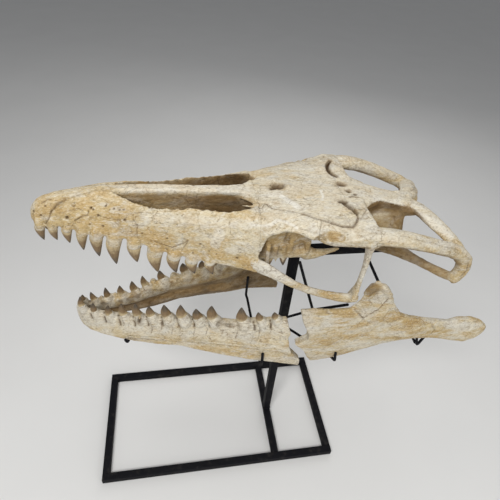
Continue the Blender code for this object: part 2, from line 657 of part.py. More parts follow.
def postdentary():
    """The rear of the left jaw: surangular, angular and articular with its long knobbed end."""
    rings = []
    for d, z0, z1, thick, w in POSTDENTARY:
        middle = 0.5 * (z0 + z1)
        ring = []
        for k in range(12):
            a = 2 * math.pi * (k + 0.5) / 12
            c, s = math.cos(a), math.sin(a)
            c = math.copysign(abs(c) ** 0.75, c)
            s = math.copysign(abs(s) ** 0.75, s)
            ring.append(at(d, w + c * thick * 0.5, middle + s * (z1 - z0) * 0.5))
        rings.append(ring)
    return broken_by(mesh_of(rings), POSTDENTARY_BREAK)


CORONOID = [  # z, front d, rear d, thickness
    (58.0, 60.0, 77.0, 1.8), (60.0, 61.0, 75.4, 1.8), (61.6, 61.6, 74.2, 1.6), (63.4, 62.6, 73.0, 1.4),
    (65.4, 64.2, 72.0, 1.2), (67.6, 64.9, 70.4, 1.0), (69.4, 65.3, 68.9, 0.8), (70.8, 66.3, 67.4, 0.5)]


def coronoid():
    """The tall process that rises behind the jugal."""
    rings = []
    for z, front, rear, thick in CORONOID:
        middle, reach = 0.5 * (front + rear), 0.5 * (rear - front)
        ring = []
        for k in range(10):
            a = 2 * math.pi * k / 10
            ring.append(at(middle + reach * math.cos(a), 11.9 + 0.5 * thick * math.sin(a), z))
        rings.append(ring)
    return mesh_of(rings)


# ------------------------------------------------------------------ stand
def rod(points, radius=ROD / 2, sides=8):
    """A thin round rod through bends."""
    rings = []
    points = [Vector(p) for p in points]
    for i, centre in enumerate(points):
        before = (centre - points[max(i - 1, 0)]).normalized()
        after = (points[min(i + 1, len(points) - 1)] - centre).normalized()
        along = (before + after).normalized()
        across = along.orthogonal() if abs(along.y) > 0.95 else along.cross(Vector((0, 1, 0)))
        across.normalize()
        up = across.cross(along)
        stretch = 1.0 / max(0.5, along.dot(after if i < len(points) - 1 else before))
        rings.append([centre + (across * math.cos(a) + up * math.sin(a)) * radius * stretch
                      for a in (2 * math.pi * k / sides for k in range(sides))])
    return mesh_of(rings)


def beam():
    return box(CROSS_X + TUBE / 2 + GAP, BEAM_END, -TUBE / 2, TUBE / 2, BEAM_UNDER, BEAM_UNDER + TUBE)


# rods of the stand as stations (d, w, z); w is negative on the skull's right side
RODS = {
    "stand_jaw_arm": [(52.0, 0.4, 47.2), (44.0, 0.4, 46.7), (40.0, 4.0, 50.5), (35.0, 7.2, 56.2)],
    "stand_cross_rod": [(43.8, -8.6, 53.6), (43.8, -9.0, 46.2), (44.0, -8.0, 46.0), (44.0, 9.6, 46.0),
                        (44.0, 12.4, 46.0), (44.0, 13.8, 46.0), (44.1, 13.8, 48.2)],
    "stand_front_hook": [(44.0, 9.6, 46.0), (14.0, 3.2, 47.8), (13.8, 5.6, 48.0), (13.7, 6.3, 49.3)],
    "stand_side_arm": [(53.0, 0.4, 47.0), (57.5, 4.8, 54.5), (62.5, 10.9, 62.8)],
    "stand_palate_rod": [(57.5, 4.8, 54.5), (51.8, 4.6, 70.6)],
    "stand_coronoid_rod": [(68.9, 0.9, 68.4), (70.2, 11.0, 65.2)],
    "stand_rear_hook": [(53.0, 0.4, 43.4), (61.5, 11.4, 44.4), (61.6, 13.6, 44.6), (61.7, 13.9, 47.2)],
    "stand_neck_rod": [(61.0, 10.4, 44.4), (80.4, 10.5, 48.6), (83.0, 12.6, 47.2)],
    "stand_neck_clip": [(81.0, 12.6, 51.2), (83.0, 13.0, 47.2), (84.4, 12.6, 51.2)],
}


def stand(steel, bones):
    x0, x1 = BASE_LEFT, BASE_LEFT + BASE_LENGTH
    y = BASE_WIDTH / 2
    post = box(CROSS_X - TUBE / 2, CROSS_X + TUBE / 2, -TUBE / 2, TUBE / 2, TUBE + GAP,
               BEAM_UNDER + TUBE)
    tubes = {
        "stand_front_tube": box(x0, x1, -y, -y + TUBE, 0, TUBE),
        "stand_rear_tube": box(x0, x1, y - TUBE, y, 0, TUBE),
        "stand_end_tube": box(x0, x0 + TUBE, -y + TUBE + GAP, y - TUBE - GAP, 0, TUBE),
        "stand_far_end_tube": box(x1 - TUBE, x1, -y + TUBE + GAP, y - TUBE - GAP, 0, TUBE),
        "stand_cross_tube": box(CROSS_X - TUBE / 2, CROSS_X + TUBE / 2, -y + TUBE + GAP,
                                y - TUBE - GAP, 0, TUBE),
        "stand_post": post,
        "stand_beam": beam(),
    }
    for name, mesh in tubes.items():
        place(name, mesh, steel, smooth=False)
    blockers = [post, beam()]
    for name, rows in RODS.items():
        mesh = fitted(rod(path(rows)), *blockers, *(bones[key] for key in
                      ("dentary_left", "dentary_right", "postdentary_left", "coronoid_left",
                       "pterygoid_left")))
        blockers.append(mesh)
        place(name, mesh, steel)


main()
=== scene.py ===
"""Mosasaur skull on its museum mount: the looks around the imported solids.

Places on the skull are stations in centimetres: d behind the tip of the snout, w out from the
skull's midplane (positive on its left side) and z over the floor.
"""
import math

import bmesh
import bpy
import numpy as np
from mathutils import Euler, Matrix, Vector
from mathutils.bvhtree import BVHTree


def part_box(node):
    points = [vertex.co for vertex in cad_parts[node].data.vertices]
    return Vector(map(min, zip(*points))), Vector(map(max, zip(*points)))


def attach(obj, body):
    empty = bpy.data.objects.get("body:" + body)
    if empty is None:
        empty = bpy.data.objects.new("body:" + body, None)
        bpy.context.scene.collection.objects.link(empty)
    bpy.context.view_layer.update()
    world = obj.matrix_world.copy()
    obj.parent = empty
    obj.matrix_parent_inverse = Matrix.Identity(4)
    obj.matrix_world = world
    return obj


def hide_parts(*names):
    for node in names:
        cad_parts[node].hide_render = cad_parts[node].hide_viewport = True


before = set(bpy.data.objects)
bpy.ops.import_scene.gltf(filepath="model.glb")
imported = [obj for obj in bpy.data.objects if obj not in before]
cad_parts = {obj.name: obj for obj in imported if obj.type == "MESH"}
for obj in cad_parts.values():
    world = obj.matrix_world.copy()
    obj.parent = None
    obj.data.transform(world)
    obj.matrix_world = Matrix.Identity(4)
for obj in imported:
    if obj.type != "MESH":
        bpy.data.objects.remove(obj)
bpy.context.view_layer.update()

CM, MM = 0.01, 0.001
SNOUT_X = -0.5025           # X of the tip of the snout
SKULL_VOXEL = 0.0019        # spacing of the skull's final meshes
JAW_VOXEL = 0.0017          # spacing of the jaws' final meshes
COARSER = 1.3               # spacing of a group's common skin, in parts of its bones' spacing
INFLATE = 0.0002            # how far bones are swollen, to overlap at their sutures
SKIN_REACH = 0.0032         # how far a facet may lie from the smoothed skin and still join it
FACING = 0.45               # how well it must face the way the skin does, as a cosine
TAUBIN = (0.6, -0.63)       # shrinking and growing steps of the smoothing
CONCAVE = (0.00012, 0.00045)    # bend of the skin where the painted shade of hollow places begins and where it is darkest
SPLIT = 0.00001             # corners nearer than this are one point


def at(d, w, z):
    return np.array((SNOUT_X + d * CM, -w * CM, z * CM))


def stations(points):
    """Arrays d, w and z in centimetres of points in metres."""
    return (points[:, 0] - SNOUT_X) / CM, -points[:, 1] / CM, points[:, 2] / CM


def table(rows, d):
    """The value at d in a table of (d, value) rows."""
    return np.interp(d, [r[0] for r in rows], [r[1] for r in rows])


# ---- noise
def lattice(i, j, k, seed):
    """A number from -1 to 1 for each corner of the noise's grid, by integer hashing."""
    n = (i.astype(np.uint32) * np.uint32(0x9E3779B1)) ^ (j.astype(np.uint32) * np.uint32(0x85EBCA77))
    n ^= (k.astype(np.uint32) * np.uint32(0xC2B2AE3D)) ^ np.uint32(seed * 2654435761 % 4294967296)
    n ^= n >> np.uint32(15)
    n *= np.uint32(0x2C1B3C6D)
    n ^= n >> np.uint32(12)
    n *= np.uint32(0x297A2D39)
    n ^= n >> np.uint32(15)
    return n.astype(np.float64) / 2147483647.5 - 1.0


def noise(points, size, seed):
    """Smooth value noise from -1 to 1. size is its wavelength in metres, one number or three."""
    q = points / np.asarray(size, float)
    base = np.floor(q)
    f = q - base
    f = f * f * f * (f * (f * 6 - 15) + 10)
    cell = base.astype(np.int64)
    total = np.zeros(len(points))
    for a in (0, 1):
        for b in (0, 1):
            for c in (0, 1):
                weight = ((f[:, 0] if a else 1 - f[:, 0]) * (f[:, 1] if b else 1 - f[:, 1])
                          * (f[:, 2] if c else 1 - f[:, 2]))
                total += weight * lattice(cell[:, 0] + a, cell[:, 1] + b, cell[:, 2] + c, seed)
    return total


def fbm(points, size, octaves, seed):
    """Noise with finer and fainter octaves added to it."""
    size = np.asarray(size, float)
    total = np.zeros(len(points))
    gain = 1.0
    for i in range(octaves):
        total += gain * noise(points + i * 0.137, size, seed + i)
        size = size * 0.5
        gain *= 0.5
    return total / (2 - 2 * gain)


def warped(points, reach, size, seed):
    """The points, each shifted a little, to make borders and cracks wander."""
    shift = [fbm(points, size, 3, seed + 11 * i) for i in range(3)]
    return points + reach * np.stack(shift, axis=1)


def soft(value, low, high):
    """0 at low, rising smoothly to 1 at high. Low may be the larger of the two."""
    t = np.clip((value - low) / (high - low), 0, 1)
    return t * t * (3 - 2 * t)


# ---- meshes as arrays
def mesh_from(verts, faces):
    mesh = bpy.data.meshes.new("work")
    mesh.from_pydata([tuple(v) for v in verts], [], [tuple(f) for f in faces])
    mesh.update()
    return mesh


def opened(*meshes):
    """All the meshes together as one bmesh."""
    bm = bmesh.new()
    for mesh in meshes:
        bm.from_mesh(mesh)
    return bm


def closed(bm):
    mesh = bpy.data.meshes.new("work")
    bm.to_mesh(mesh)
    bm.free()
    return mesh


def joined(*meshes):
    return closed(opened(*meshes))


def outward(mesh):
    """The mesh with all its faces turned outward."""
    bm = opened(mesh)
    bmesh.ops.recalc_face_normals(bm, faces=bm.faces[:])
    return closed(bm)


def modified(mesh, kind, **settings):
    """The mesh after one modifier."""
    item = bpy.data.objects.new("work", mesh)
    bpy.context.scene.collection.objects.link(item)
    step = item.modifiers.new("step", kind)
    for key, value in settings.items():
        setattr(step, key, value)
    graph = bpy.context.evaluated_depsgraph_get()
    result = bpy.data.meshes.new_from_object(item.evaluated_get(graph))
    bpy.data.objects.remove(item)
    return result


def inflated(mesh, by):
    """The mesh with its split corners joined and its skin moved outward."""
    bm = opened(mesh)
    bmesh.ops.remove_doubles(bm, verts=bm.verts[:], dist=SPLIT)
    bm.normal_update()
    moves = [(v, v.normal * by) for v in bm.verts]
    for v, move in moves:
        v.co += move
    return closed(bm)


def numbers(items, key, width, kind):
    values = np.empty(len(items) * width, kind)
    items.foreach_get(key, values)
    return values.reshape(-1, width)


class Skin:
    """A closed quad mesh as arrays, with the colour masks that the sculpting leaves on it."""

    def __init__(self, mesh):
        self.v = numbers(mesh.vertices, "co", 3, np.float64)
        self.e = numbers(mesh.edges, "vertices", 2, np.int64)
        self.f = numbers(mesh.loops, "vertex_index", 1, np.int64).reshape(-1, 4)
        self.degree = np.bincount(self.e.ravel(), minlength=len(self.v))[:, None]
        self.masks = {}

    def mean(self, values):
        """The mean of each vertex's neighbours, for one column or several."""
        flat = values.reshape(len(values), -1)
        count = len(values)
        total = np.stack([np.bincount(self.e[:, 0], flat[self.e[:, 1], c], count)
                          + np.bincount(self.e[:, 1], flat[self.e[:, 0], c], count)
                          for c in range(flat.shape[1])], axis=1)
        return (total / self.degree).reshape(values.shape)

    def smooth(self, rounds):
        """Taubin smoothing, which takes off facets and keeps the volume."""
        for _ in range(rounds):
            for step in TAUBIN:
                self.v += step * (self.mean(self.v) - self.v)

    def normals(self, rounds):
        """Unit normals, evened out over neighbours in so many rounds."""
        a = self.v[self.f[:, 2]] - self.v[self.f[:, 0]]
        b = self.v[self.f[:, 3]] - self.v[self.f[:, 1]]
        face = np.cross(a, b)
        n = np.zeros_like(self.v)
        tiny = 1e-12
        for k in range(4):
            for c in range(3):
                n[:, c] += np.bincount(self.f[:, k], face[:, c], len(n))
        for _ in range(rounds):
            n /= np.linalg.norm(n, axis=1)[:, None] + tiny
            n = n + self.mean(n)
        return n / (np.linalg.norm(n, axis=1)[:, None] + tiny)

    def hollow_shade(self):
        """How concave the skin is, as a smoothed mean curvature."""
        bend = np.einsum("ij,ij->i", self.mean(self.v) - self.v, self.normals(1))
        return self.mean(self.mean(bend))

    def mask(self, name, value):
        """Adds to a colour mask, keeping the larger value at each vertex."""
        old = self.masks.get(name)
        self.masks[name] = value if old is None else np.maximum(old, value)

    def mesh(self):
        mesh = bpy.data.meshes.new("work")
        mesh.vertices.add(len(self.v))
        mesh.vertices.foreach_set("co", self.v.ravel())
        mesh.loops.add(self.f.size)
        mesh.loops.foreach_set("vertex_index", self.f.ravel())
        mesh.polygons.add(len(self.f))
        mesh.polygons.foreach_set("loop_start", np.arange(0, self.f.size, 4))
        mesh.polygons.foreach_set("loop_total", np.full(len(self.f), 4))
        mesh.update(calc_edges=True)
        mesh.validate()
        for key, value in self.masks.items():
            layer = mesh.attributes.new(key, "FLOAT", "POINT")
            layer.data.foreach_set("value", np.clip(value, 0, 1).astype(np.float32))
        mesh.shade_smooth()
        return mesh


def remeshed(mesh, voxel):
    return Skin(modified(mesh, "REMESH", mode="VOXEL", voxel_size=voxel, adaptivity=0.0))


# ---- where the features lie
def line_distance(points, corners):
    """Distance in metres from each point to a path."""
    best = np.full(len(points), 1e9)
    for a, b in zip(corners, corners[1:]):
        ab = b - a
        t = np.clip((points - a) @ ab / (ab @ ab), 0, 1)
        best = np.minimum(best, np.linalg.norm(points - a - t[:, None] * ab, axis=1))
    return best


STEEP = 2.5                 # grooves deeper than this many millimetres have steep walls


class Sculpt:
    """Displacement along the skin's normal, added up before it is applied."""

    def __init__(self, skin, normals, weight, tree):
        self.skin = skin
        self.tree = tree
        self.p = skin.v.copy()
        self.n = normals
        self.weight = weight
        self.shift = np.zeros(len(self.p))
        self.d, self.w, self.z = stations(self.p)
        self.folded = self.p.copy()         # both sides of the skull laid on the left one
        self.folded[:, 1] = -np.abs(self.folded[:, 1])
        self.loose = [warped(p, 0.0016, 0.012, 5) for p in (self.p, self.folded)]

    def laid(self, station):
        """The place on the smoothed skin nearest to a station."""
        return np.array(self.tree.find_nearest(Vector(at(*station)))[0])

    def fbm(self, size, octaves, seed):
        return fbm(self.p, size, octaves, seed)

    def mask(self, name, value):
        self.skin.mask(name, value)

    def reaches(self, path, both, margin=0.012):
        """Whether any of the skin lies within margin metres of the box round a path."""
        points = np.array([at(*p) for p in path])
        low, high = points.min(axis=0) - margin, points.max(axis=0) + margin
        p = self.folded if both else self.p
        return bool(np.any(np.all((p > low) & (p < high), axis=1)))

    def near(self, path, both):
        """Distance in metres to a path of stations, wandering a little."""
        corners = [self.laid(p) for p in path]
        if len(corners) == 1:
            return np.linalg.norm(self.loose[both] - corners[0], axis=1)
        return line_distance(self.loose[both], corners)

    def groove(self, path, width, depth, both=False, dark=0.8, lip=0.0):
        """A groove along a path of stations, steep if deep, with an optional raised lip. In millimetres."""
        r = self.near(path, both) / (width * MM)
        steep = 4 if depth > STEEP else 2
        self.shift -= depth * MM * np.exp(-r ** steep)
        if lip:
            self.shift += lip * MM * np.exp(-((r - 1.8) ** 2))
        self.mask("crack", dark * np.exp(-(r * 1.1) ** steep))
        self.mask("brown", 0.8 * dark * np.exp(-(r * 0.62) ** 2))

    def pit(self, spot, width, depth, both=False, dark=0.9, stretch=1.0):
        """A round or lengthwise pit at one station, darkened inside with brown and painted shade. In
        millimetres.
        """
        p = self.loose[both] - self.laid(spot)
        p[:, 0] /= stretch
        r = np.linalg.norm(p, axis=1) / (width * MM)
        self.shift -= depth * MM * np.exp(-r ** 4)
        self.mask("crack", dark * np.exp(-r ** 3))
        self.mask("brown", 0.8 * dark * np.exp(-(r / 1.3) ** 4))

    def lump(self, spot, width, height, both):
        """A rounded knob at one station. In millimetres."""
        r = self.near([spot], both) / (width * MM)
        self.shift += height * MM * np.exp(-r * r)

    def patch(self, name, spot, reach, amount, both=False):
        """A soft-edged patch of a colour mask, with reach in centimetres along d, w and z."""
        p = (self.folded if both else self.p) - self.laid(spot)
        r = np.linalg.norm(p / (np.asarray(reach) * CM), axis=1)
        r += 0.6 * self.fbm(0.03, 4, 21)
        self.mask(name, amount * soft(r, 1.5, 0.35))

    def apply(self):
        """Moves the skin, fully where it was laid on the common skin and less elsewhere."""
        self.skin.v = self.p + self.n * (self.shift * self.weight)[:, None]


def weathered(s):
    """Surface of old bone: broad unevenness, lengthwise grain, fine pits and drying cracks."""
    s.shift += 0.0008 * s.fbm(0.045, 3, 1)
    s.shift += 0.00045 * s.fbm((0.05, 0.008, 0.008), 3, 2)
    s.shift += 0.00055 * s.fbm(0.013, 3, 7)
    pitted = s.fbm(0.0085, 2, 3)
    s.shift -= 0.0007 * soft(pitted, 0.42, 0.75)
    lines = np.abs(fbm(warped(s.p, 0.01, 0.05, 4), (0.11, 0.034, 0.034), 3, 5))
    crack = np.exp(-(lines / 0.018) ** 2) * soft(s.fbm(0.09, 2, 6), 0.0, 0.4)
    s.shift -= 0.0006 * crack
    s.mask("crack", 0.22 * crack)
    # painted shade in the fine pits
    s.mask("crack", 0.3 * soft(pitted, 0.5, 0.8))


# ---- CAD solids without their teeth
# the lower edge of the upper jaw and the upper edge of the lower one
MARGIN_Z = [
    (0, 81.6), (1, 80.9), (2.4, 80.7), (4.8, 81.2), (9.7, 80.1), (12.9, 80), (16.5, 79.4), (23.6, 76.5),
    (30.3, 74.9), (36.1, 74.5), (41.3, 73.7)]
JAW_EDGE = [
    (3.2, 57), (3.9, 57.2), (5.4, 56.2), (8, 55.6), (11, 55.3), (15, 55.5), (20, 56.4), (26, 57.1),
    (32, 57.2), (38, 57.4), (43.5, 59), (48, 60.3), (54, 61)]


def slab(rows, offset, far):
    """A closed block between a line of (d, z) rows and a far height, over the whole width."""
    low, high = [], []
    for d, z in [(rows[0][0] - 5, rows[0][1])] + rows + [(rows[-1][0] + 5, rows[-1][1])]:
        for target, height in ((low, z + offset), (high, far)):
            target.append([at(d, 20, height), at(d, -20, height)])
    verts = [p for pair in low + high for p in pair]
    n = len(low)
    faces = []
    for i in range(n - 1):
        a, b = 2 * i, 2 * i + 2
        c, e = a + 2 * n, b + 2 * n
        faces += [(a, b, b + 1, a + 1), (c + 1, e + 1, e, c), (a, c, e, b), (a + 1, b + 1, e + 1, c + 1)]
    end = 2 * n - 2
    faces += [(0, 1, 2 * n + 1, 2 * n), (end, end + 2 * n, end + 2 * n + 1, end + 1)]
    return outward(mesh_from(verts, faces))


def without(mesh, cutter):
    """The mesh with the cutter's space taken out of it."""
    tool = bpy.data.objects.new("cutter", cutter)
    bpy.context.scene.collection.objects.link(tool)
    result = modified(mesh, "BOOLEAN", operation="DIFFERENCE", solver="EXACT", object=tool)
    bpy.data.objects.remove(tool)
    return result


def bare(name):
    """A CAD node's mesh, its split corners joined and its rough teeth cut off."""
    mesh = inflated(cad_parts[name].data, 0.0)
    if name.startswith(("maxilla", "premaxilla")):
        return without(mesh, slab(MARGIN_Z, -0.2, 60))
    if name.startswith("dentary"):
        return without(mesh, slab(JAW_EDGE, 0.1, 70))
    if name.startswith("pterygoid"):
        return without(mesh, slab([(40, 74.3), (47, 73.8), (51.2, 72.9), (52.5, 71.0), (60, 71.0)], 0, 60))
    return mesh


def turns(sides):
    return [2 * math.pi * k / sides for k in range(sides)]


def round_faces(rings, sides):
    """The quads between rings of points, then a cap over each end."""
    last = (rings - 1) * sides
    faces = [(i + k, i + (k + 1) % sides, i + sides + (k + 1) % sides, i + sides + k)
             for i in range(0, last, sides) for k in range(sides)]
    return faces + [tuple(range(sides))[::-1], tuple(range(last, last + sides))]


def spindle(axis):
    """A closed round solid along a line, from (centre, radius) pairs in metres."""
    along = axis[-1][0] - axis[0][0]
    along /= np.linalg.norm(along)
    across = np.cross(along, (0.31, 0.91, 0.27))
    across /= np.linalg.norm(across)
    up = np.cross(along, across)
    verts = [centre + radius * (across * math.cos(a) + up * math.sin(a))
             for centre, radius in axis for a in turns(FOOT_SIDES)]
    return mesh_from(verts, round_faces(len(axis), FOOT_SIDES))


def spike(a, b, thick, thin):
    """A tapering spike between two points, its radii in centimetres."""
    return spindle([(a + (b - a) * t, (thick + (thin - thick) * t ** 1.3) * CM)
                    for t in (0.0, 0.35, 0.7, 0.92, 1.0)])


FOOT_SIDES = 12
# the bony foot round each tooth: distance along the tooth (centimetres below the gum line, or parts
# of the crown above it) and girth in parts of the tooth's radius
UPPER_FOOT = [(-1.7, 0.72), (-0.5, 1.0), (0.04, 1.08), (0.2, 0.98), (0.32, 0.84)]
LOWER_FOOT = [(-2.0, 1.0), (-1.0, 1.26), (-0.3, 1.22), (0.06, 1.06), (0.2, 0.92), (0.29, 0.76)]


def tooth_line(row, side):
    """Gum point, direction, length and backward direction of a tooth, in centimetres."""
    d, w, z, td, tw, tz, _ = row
    base, tip = at(d, w * side, z) / CM, at(td, tw * side, tz) / CM
    height = np.linalg.norm(tip - base)
    axis = (tip - base) / height
    back = np.array((1.0, 0, 0)) - axis * axis[0]
    return base, axis, height, back / np.linalg.norm(back)


def foot(row, side, profile):
    """The mesh of one tooth's bony foot."""
    base, axis, height, back = tooth_line(row, side)
    rings = []
    for t, girth in profile:
        up = max(t, 0.0)
        centre = base + axis * (t if t < 0 else t * height) - back * (0.26 * row[6] * math.sin(math.pi * up))
        rings.append((centre * CM, row[6] * girth * CM))
    return spindle(rings)


# bony spikes: the splint behind each nostril, the comb under the wall of each orbit, and the
# blunt top of the coronoid
# from, to and the radii at each end, in centimetres
SPIKES = {
    "frontal": [
        ((43.6, 4.7, 85.4), (38.4, 1.8, 85.5), 0.55, 0.18), ((43.4, 5, 85), (38.6, 3.2, 84.7), 0.45, 0.2),
        ((42.8, 5.4, 84.6), (40.6, 4.3, 84.1), 0.4, 0.18)],
    "palatine": [
        ((43.3, 8.8, 79.8), (43.4, 9, 74.2), 0.5, 0.3), ((45, 7.6, 78), (45.6, 7.4, 73.6), 0.55, 0.16),
        ((46.8, 7, 78), (47.3, 7, 72.9), 0.85, 0.2), ((48.2, 7, 78.5), (48.7, 6.9, 74), 0.6, 0.18),
        ((51.7, 6.6, 78.6), (52.3, 6.8, 74.3), 0.8, 0.14)],
    "coronoid": [
        ((65.6, 12.2, 69.6), (68.7, 12.2, 69.1), 0.85, 0.85),
        ((65.9, 12.3, 69.6), (64.9, 12.5, 67.3), 0.85, 0.8),
        ((68.5, 12.2, 69.2), (70.6, 12.3, 66.3), 0.85, 0.8)]}


# ---- one skin over several bones
class Target:
    """The smoothed skin of several bones together, which each bone's own mesh is laid on."""

    def __init__(self, skin):
        self.tree = BVHTree.FromPolygons(skin.v.tolist(), skin.f.tolist())
        normal = skin.normals(3)[skin.f].mean(axis=1)
        self.normal = normal / np.linalg.norm(normal, axis=1)[:, None]

    def lay(self, skin):
        """Moves the skin's outer points onto the target. Returns the normals and how much each moved."""
        places = np.empty_like(skin.v)
        index = np.empty(len(skin.v), np.int64)
        for i, point in enumerate(skin.v.tolist()):
            place, _, face, _ = self.tree.find_nearest(point)
            places[i] = place
            index[i] = face
        own = skin.normals(2)
        there = self.normal[index]
        gap = np.linalg.norm(places - skin.v, axis=1)
        agree = np.einsum("ij,ij->i", own, there)
        weight = (1 - soft(gap, SKIN_REACH, SKIN_REACH * 1.9)) * soft(agree, 0.0, FACING)
        skin.v += weight[:, None] * (places - skin.v)
        normals = own + weight[:, None] * (there - own)
        return normals / np.linalg.norm(normals, axis=1)[:, None], weight


# ---- features of the skull
# path, width and depth in millimetres, whether on both sides, darkness and a raised lip's height
GROOVES = [
    ([(2.6, 3, 81.6), (3.7, 2.6, 82.8), (4.2, 2.5, 84), (5, 2.3, 84.9), (6, 2, 85.6), (6.9, 1.8, 86),
     (8.6, 1.4, 86.6), (10.4, 1.2, 87), (12.1, 0.9, 87.3), (14.4, 1, 87.4)], 1.1, 0.9, True, 0.3),
    ([(2.6, 3, 81.6), (3.7, 2.6, 82.8), (4.2, 2.5, 84), (5, 2.3, 84.9)], 1.5, 1.8, True, 0.55),
    ([(5, 2.3, 84.9), (6, 2, 85.6), (6.9, 1.8, 86)], 3.2, 1.8, True, 0.4),
    ([(2.4, 1.5, 85.4), (3.6, 1.2, 85.9), (4.4, 1.4, 86)], 1, 0.8, False, 0.45),
    ([(8.2, 3.6, 82.9), (9.6, 3.7, 83.6), (10.7, 3.8, 84), (10.8, 3.5, 84.7)], 0.9, 1, False, 0.6),
    ([(5.8, 2.8, 84), (7.4, 2.9, 84.4), (9, 3, 84.9), (9.9, 3.1, 84.6)], 1, 0.8, False, 0.35),
    ([(11.2, 4, 83.6), (12.8, 4.1, 84), (14.6, 4.4, 83.6), (16.4, 4.6, 83.4)], 0.8, 0.7, False, 0.4),
    ([(18.6, 4.7, 84.8), (18.7, 5.1, 83.6), (19.3, 5.4, 82.4), (18.9, 5.6, 80.2), (19.4, 5.6, 78.8)], 0.8,
     0.9, False, 0.45),
    ([(18.6, 4.7, 84.8), (19.5, 4.7, 84.9), (20.4, 4.8, 85)], 0.8, 0.8, False, 0.5),
    ([(21.4, 5.9, 79.4), (23.9, 6.2, 78.3), (25.2, 6.5, 77.9), (27.4, 6.9, 79.1), (28.2, 7, 79.8)], 0.9, 1,
     False, 0.6),
    ([(26.9, 6.8, 77.1), (27.6, 6.9, 78.3), (28.1, 7, 79.7)], 0.8, 0.8, False, 0.5),
    ([(42.7, 4.5, 86), (43.2, 5.1, 86), (43.9, 6.2, 85.9), (45.9, 6.8, 86), (47.5, 7.3, 85.9),
     (49.2, 8.2, 85.9), (51, 9.4, 85.8)], 1.3, 1.4, False, 0.35, 0.3),
    ([(43.9, -6.2, 85.9), (47.5, -7.3, 85.9), (51, -9.4, 85.8), (55.4, -11.7, 85.6)], 0.9, 0.7, False, 0.2),
    ([(49.2, 8.2, 85.9), (51, 9.4, 85.8), (53.3, 10.6, 85.8), (55.4, 11.7, 85.6), (57.5, 12.2, 85.7),
     (58.5, 11.3, 86), (59.1, 10.2, 86.1), (59.2, 8.7, 86.1), (59, 7.1, 86.1), (58.6, 6.1, 86.1),
     (58, 5.4, 86.1)], 2.2, 2.8, False, 0.5, 0.9),
    ([(47.8, 11.6, 85.9), (50.9, 13, 85.8), (53.8, 14.2, 85.6)], 0.9, 0.9, False, 0.35),
    ([(59.2, 9, 86.1), (58.9, 7.8, 86.1), (58.3, 6.6, 86.1), (57.9, 5.4, 86.1)], 3.4, 6, False, 1, 1.5),
    ([(58.2, 5.4, 86.1), (58.9, 3, 86.1), (58.6, 1, 86.1), (58.8, -1, 86.1)], 0.9, 0.7, True, 0.3),
    ([(60, 3.2, 86.1), (60.9, 3, 86), (61.6, 3.3, 86)], 1.8, 3, False, 0.8),
    ([(60, -10.4, 86.2), (59, -9, 86.1), (58.5, -7.5, 86.1), (58.5, -6, 86.1), (58.8, -5, 86.1),
     (59.4, -4.2, 86.1)], 3.6, 6, False, 1, 1),
    ([(48.8, 7.6, 86), (50.1, 6, 86.1), (51.7, 5.1, 86.2), (53.2, 3.9, 86.2)], 0.7, 0.7, False, 0.3),
    ([(53.9, 0.6, 86.3), (55.5, -1.3, 86.2), (56.9, -2.9, 86.1)], 0.7, 0.6, False, 0.3),
    ([(52.2, 10.2, 85.8), (51.6, 12, 85.2), (51.2, 13.4, 84)], 0.8, 0.7, True, 0.35),
    ([(63, 6.4, 85.5), (61.5, 8, 86), (60.2, 9.6, 86.1)], 0.9, 0.9, True, 0.45),
    ([(70.4, 12.2, 84.2), (72.4, 13.6, 82.9), (73.2, 15, 81.5)], 1, 1, True, 0.45),
    ([(76.5, 2.5, 83.2), (78, 3.8, 82.6), (80, 6.2, 81.8), (82, 9, 80.4)], 1.2, 1, True, 0.4),
    ([(66, 14.6, 85), (70, 14.8, 84), (75, 14.4, 82), (80, 13.8, 80.2)], 0.9, 0.8, True, 0.3),
    ([(83.9, 13.6, 76.4), (84.6, 13.6, 74), (84, 13.4, 72.2)], 1.6, 1.2, True, 0.35),
    ([(41.5, 11.2, 77.4), (40.2, 11, 76.2), (38.6, 10.4, 75.2)], 0.9, 0.8, True, 0.4)]
# place, width and depth in millimetres, whether on both sides
PITS = [
    ((11.4, 3.4, 85.3), 2, 2.6, False), ((11.8, 3.5, 85), 1.6, 2.2, False),
    ((14, 3.6, 85.8), 1.5, 1.8, False), ((15.4, 4, 85.4), 1.3, 1.4, False),
    ((17.1, 4.3, 85.3), 1.3, 1.6, False), ((17.1, 4.9, 83.6), 2, 2.4, True),
    ((12.5, 4.1, 84.2), 1.8, 2, True), ((6.9, 3.2, 83.3), 2.1, 2.2, True),
    ((10.8, 4.2, 82.3), 1.5, 1.8, True), ((13.1, 4.7, 82.2), 1.7, 2, True),
    ((0.8, 1.2, 83.4), 1.9, 2.2, True), ((2.2, 2.2, 83.2), 1.5, 1.8, True),
    ((3.2, 1.9, 85), 1.4, 1.6, True), ((8.4, 2.7, 85.5), 1.3, 1.4, False),
    ((37.2, 9.3, 76.8), 1.7, 2, False), ((29.1, 7.2, 76.8), 1.5, 1.8, True),
    ((30.4, 7.4, 79.2), 1.4, 1.6, False), ((20, 5.4, 80.8), 1.4, 1.5, True),
    ((24.4, 6.2, 79.9), 1.2, 1.3, True), ((33.4, 8.4, 77.2), 1.3, 1.5, True),
    ((57.9, 5, 86.1), 6, 7, False), ((59.7, -1.4, 86), 6.8, 8, False), ((60.4, 1.1, 86), 4.6, 6, False),
    ((61.4, 2.3, 86), 3, 3, False), ((46.2, -0.6, 86.4), 9, 10, False), ((45, 0.3, 86.4), 5.2, 4.5, False)]
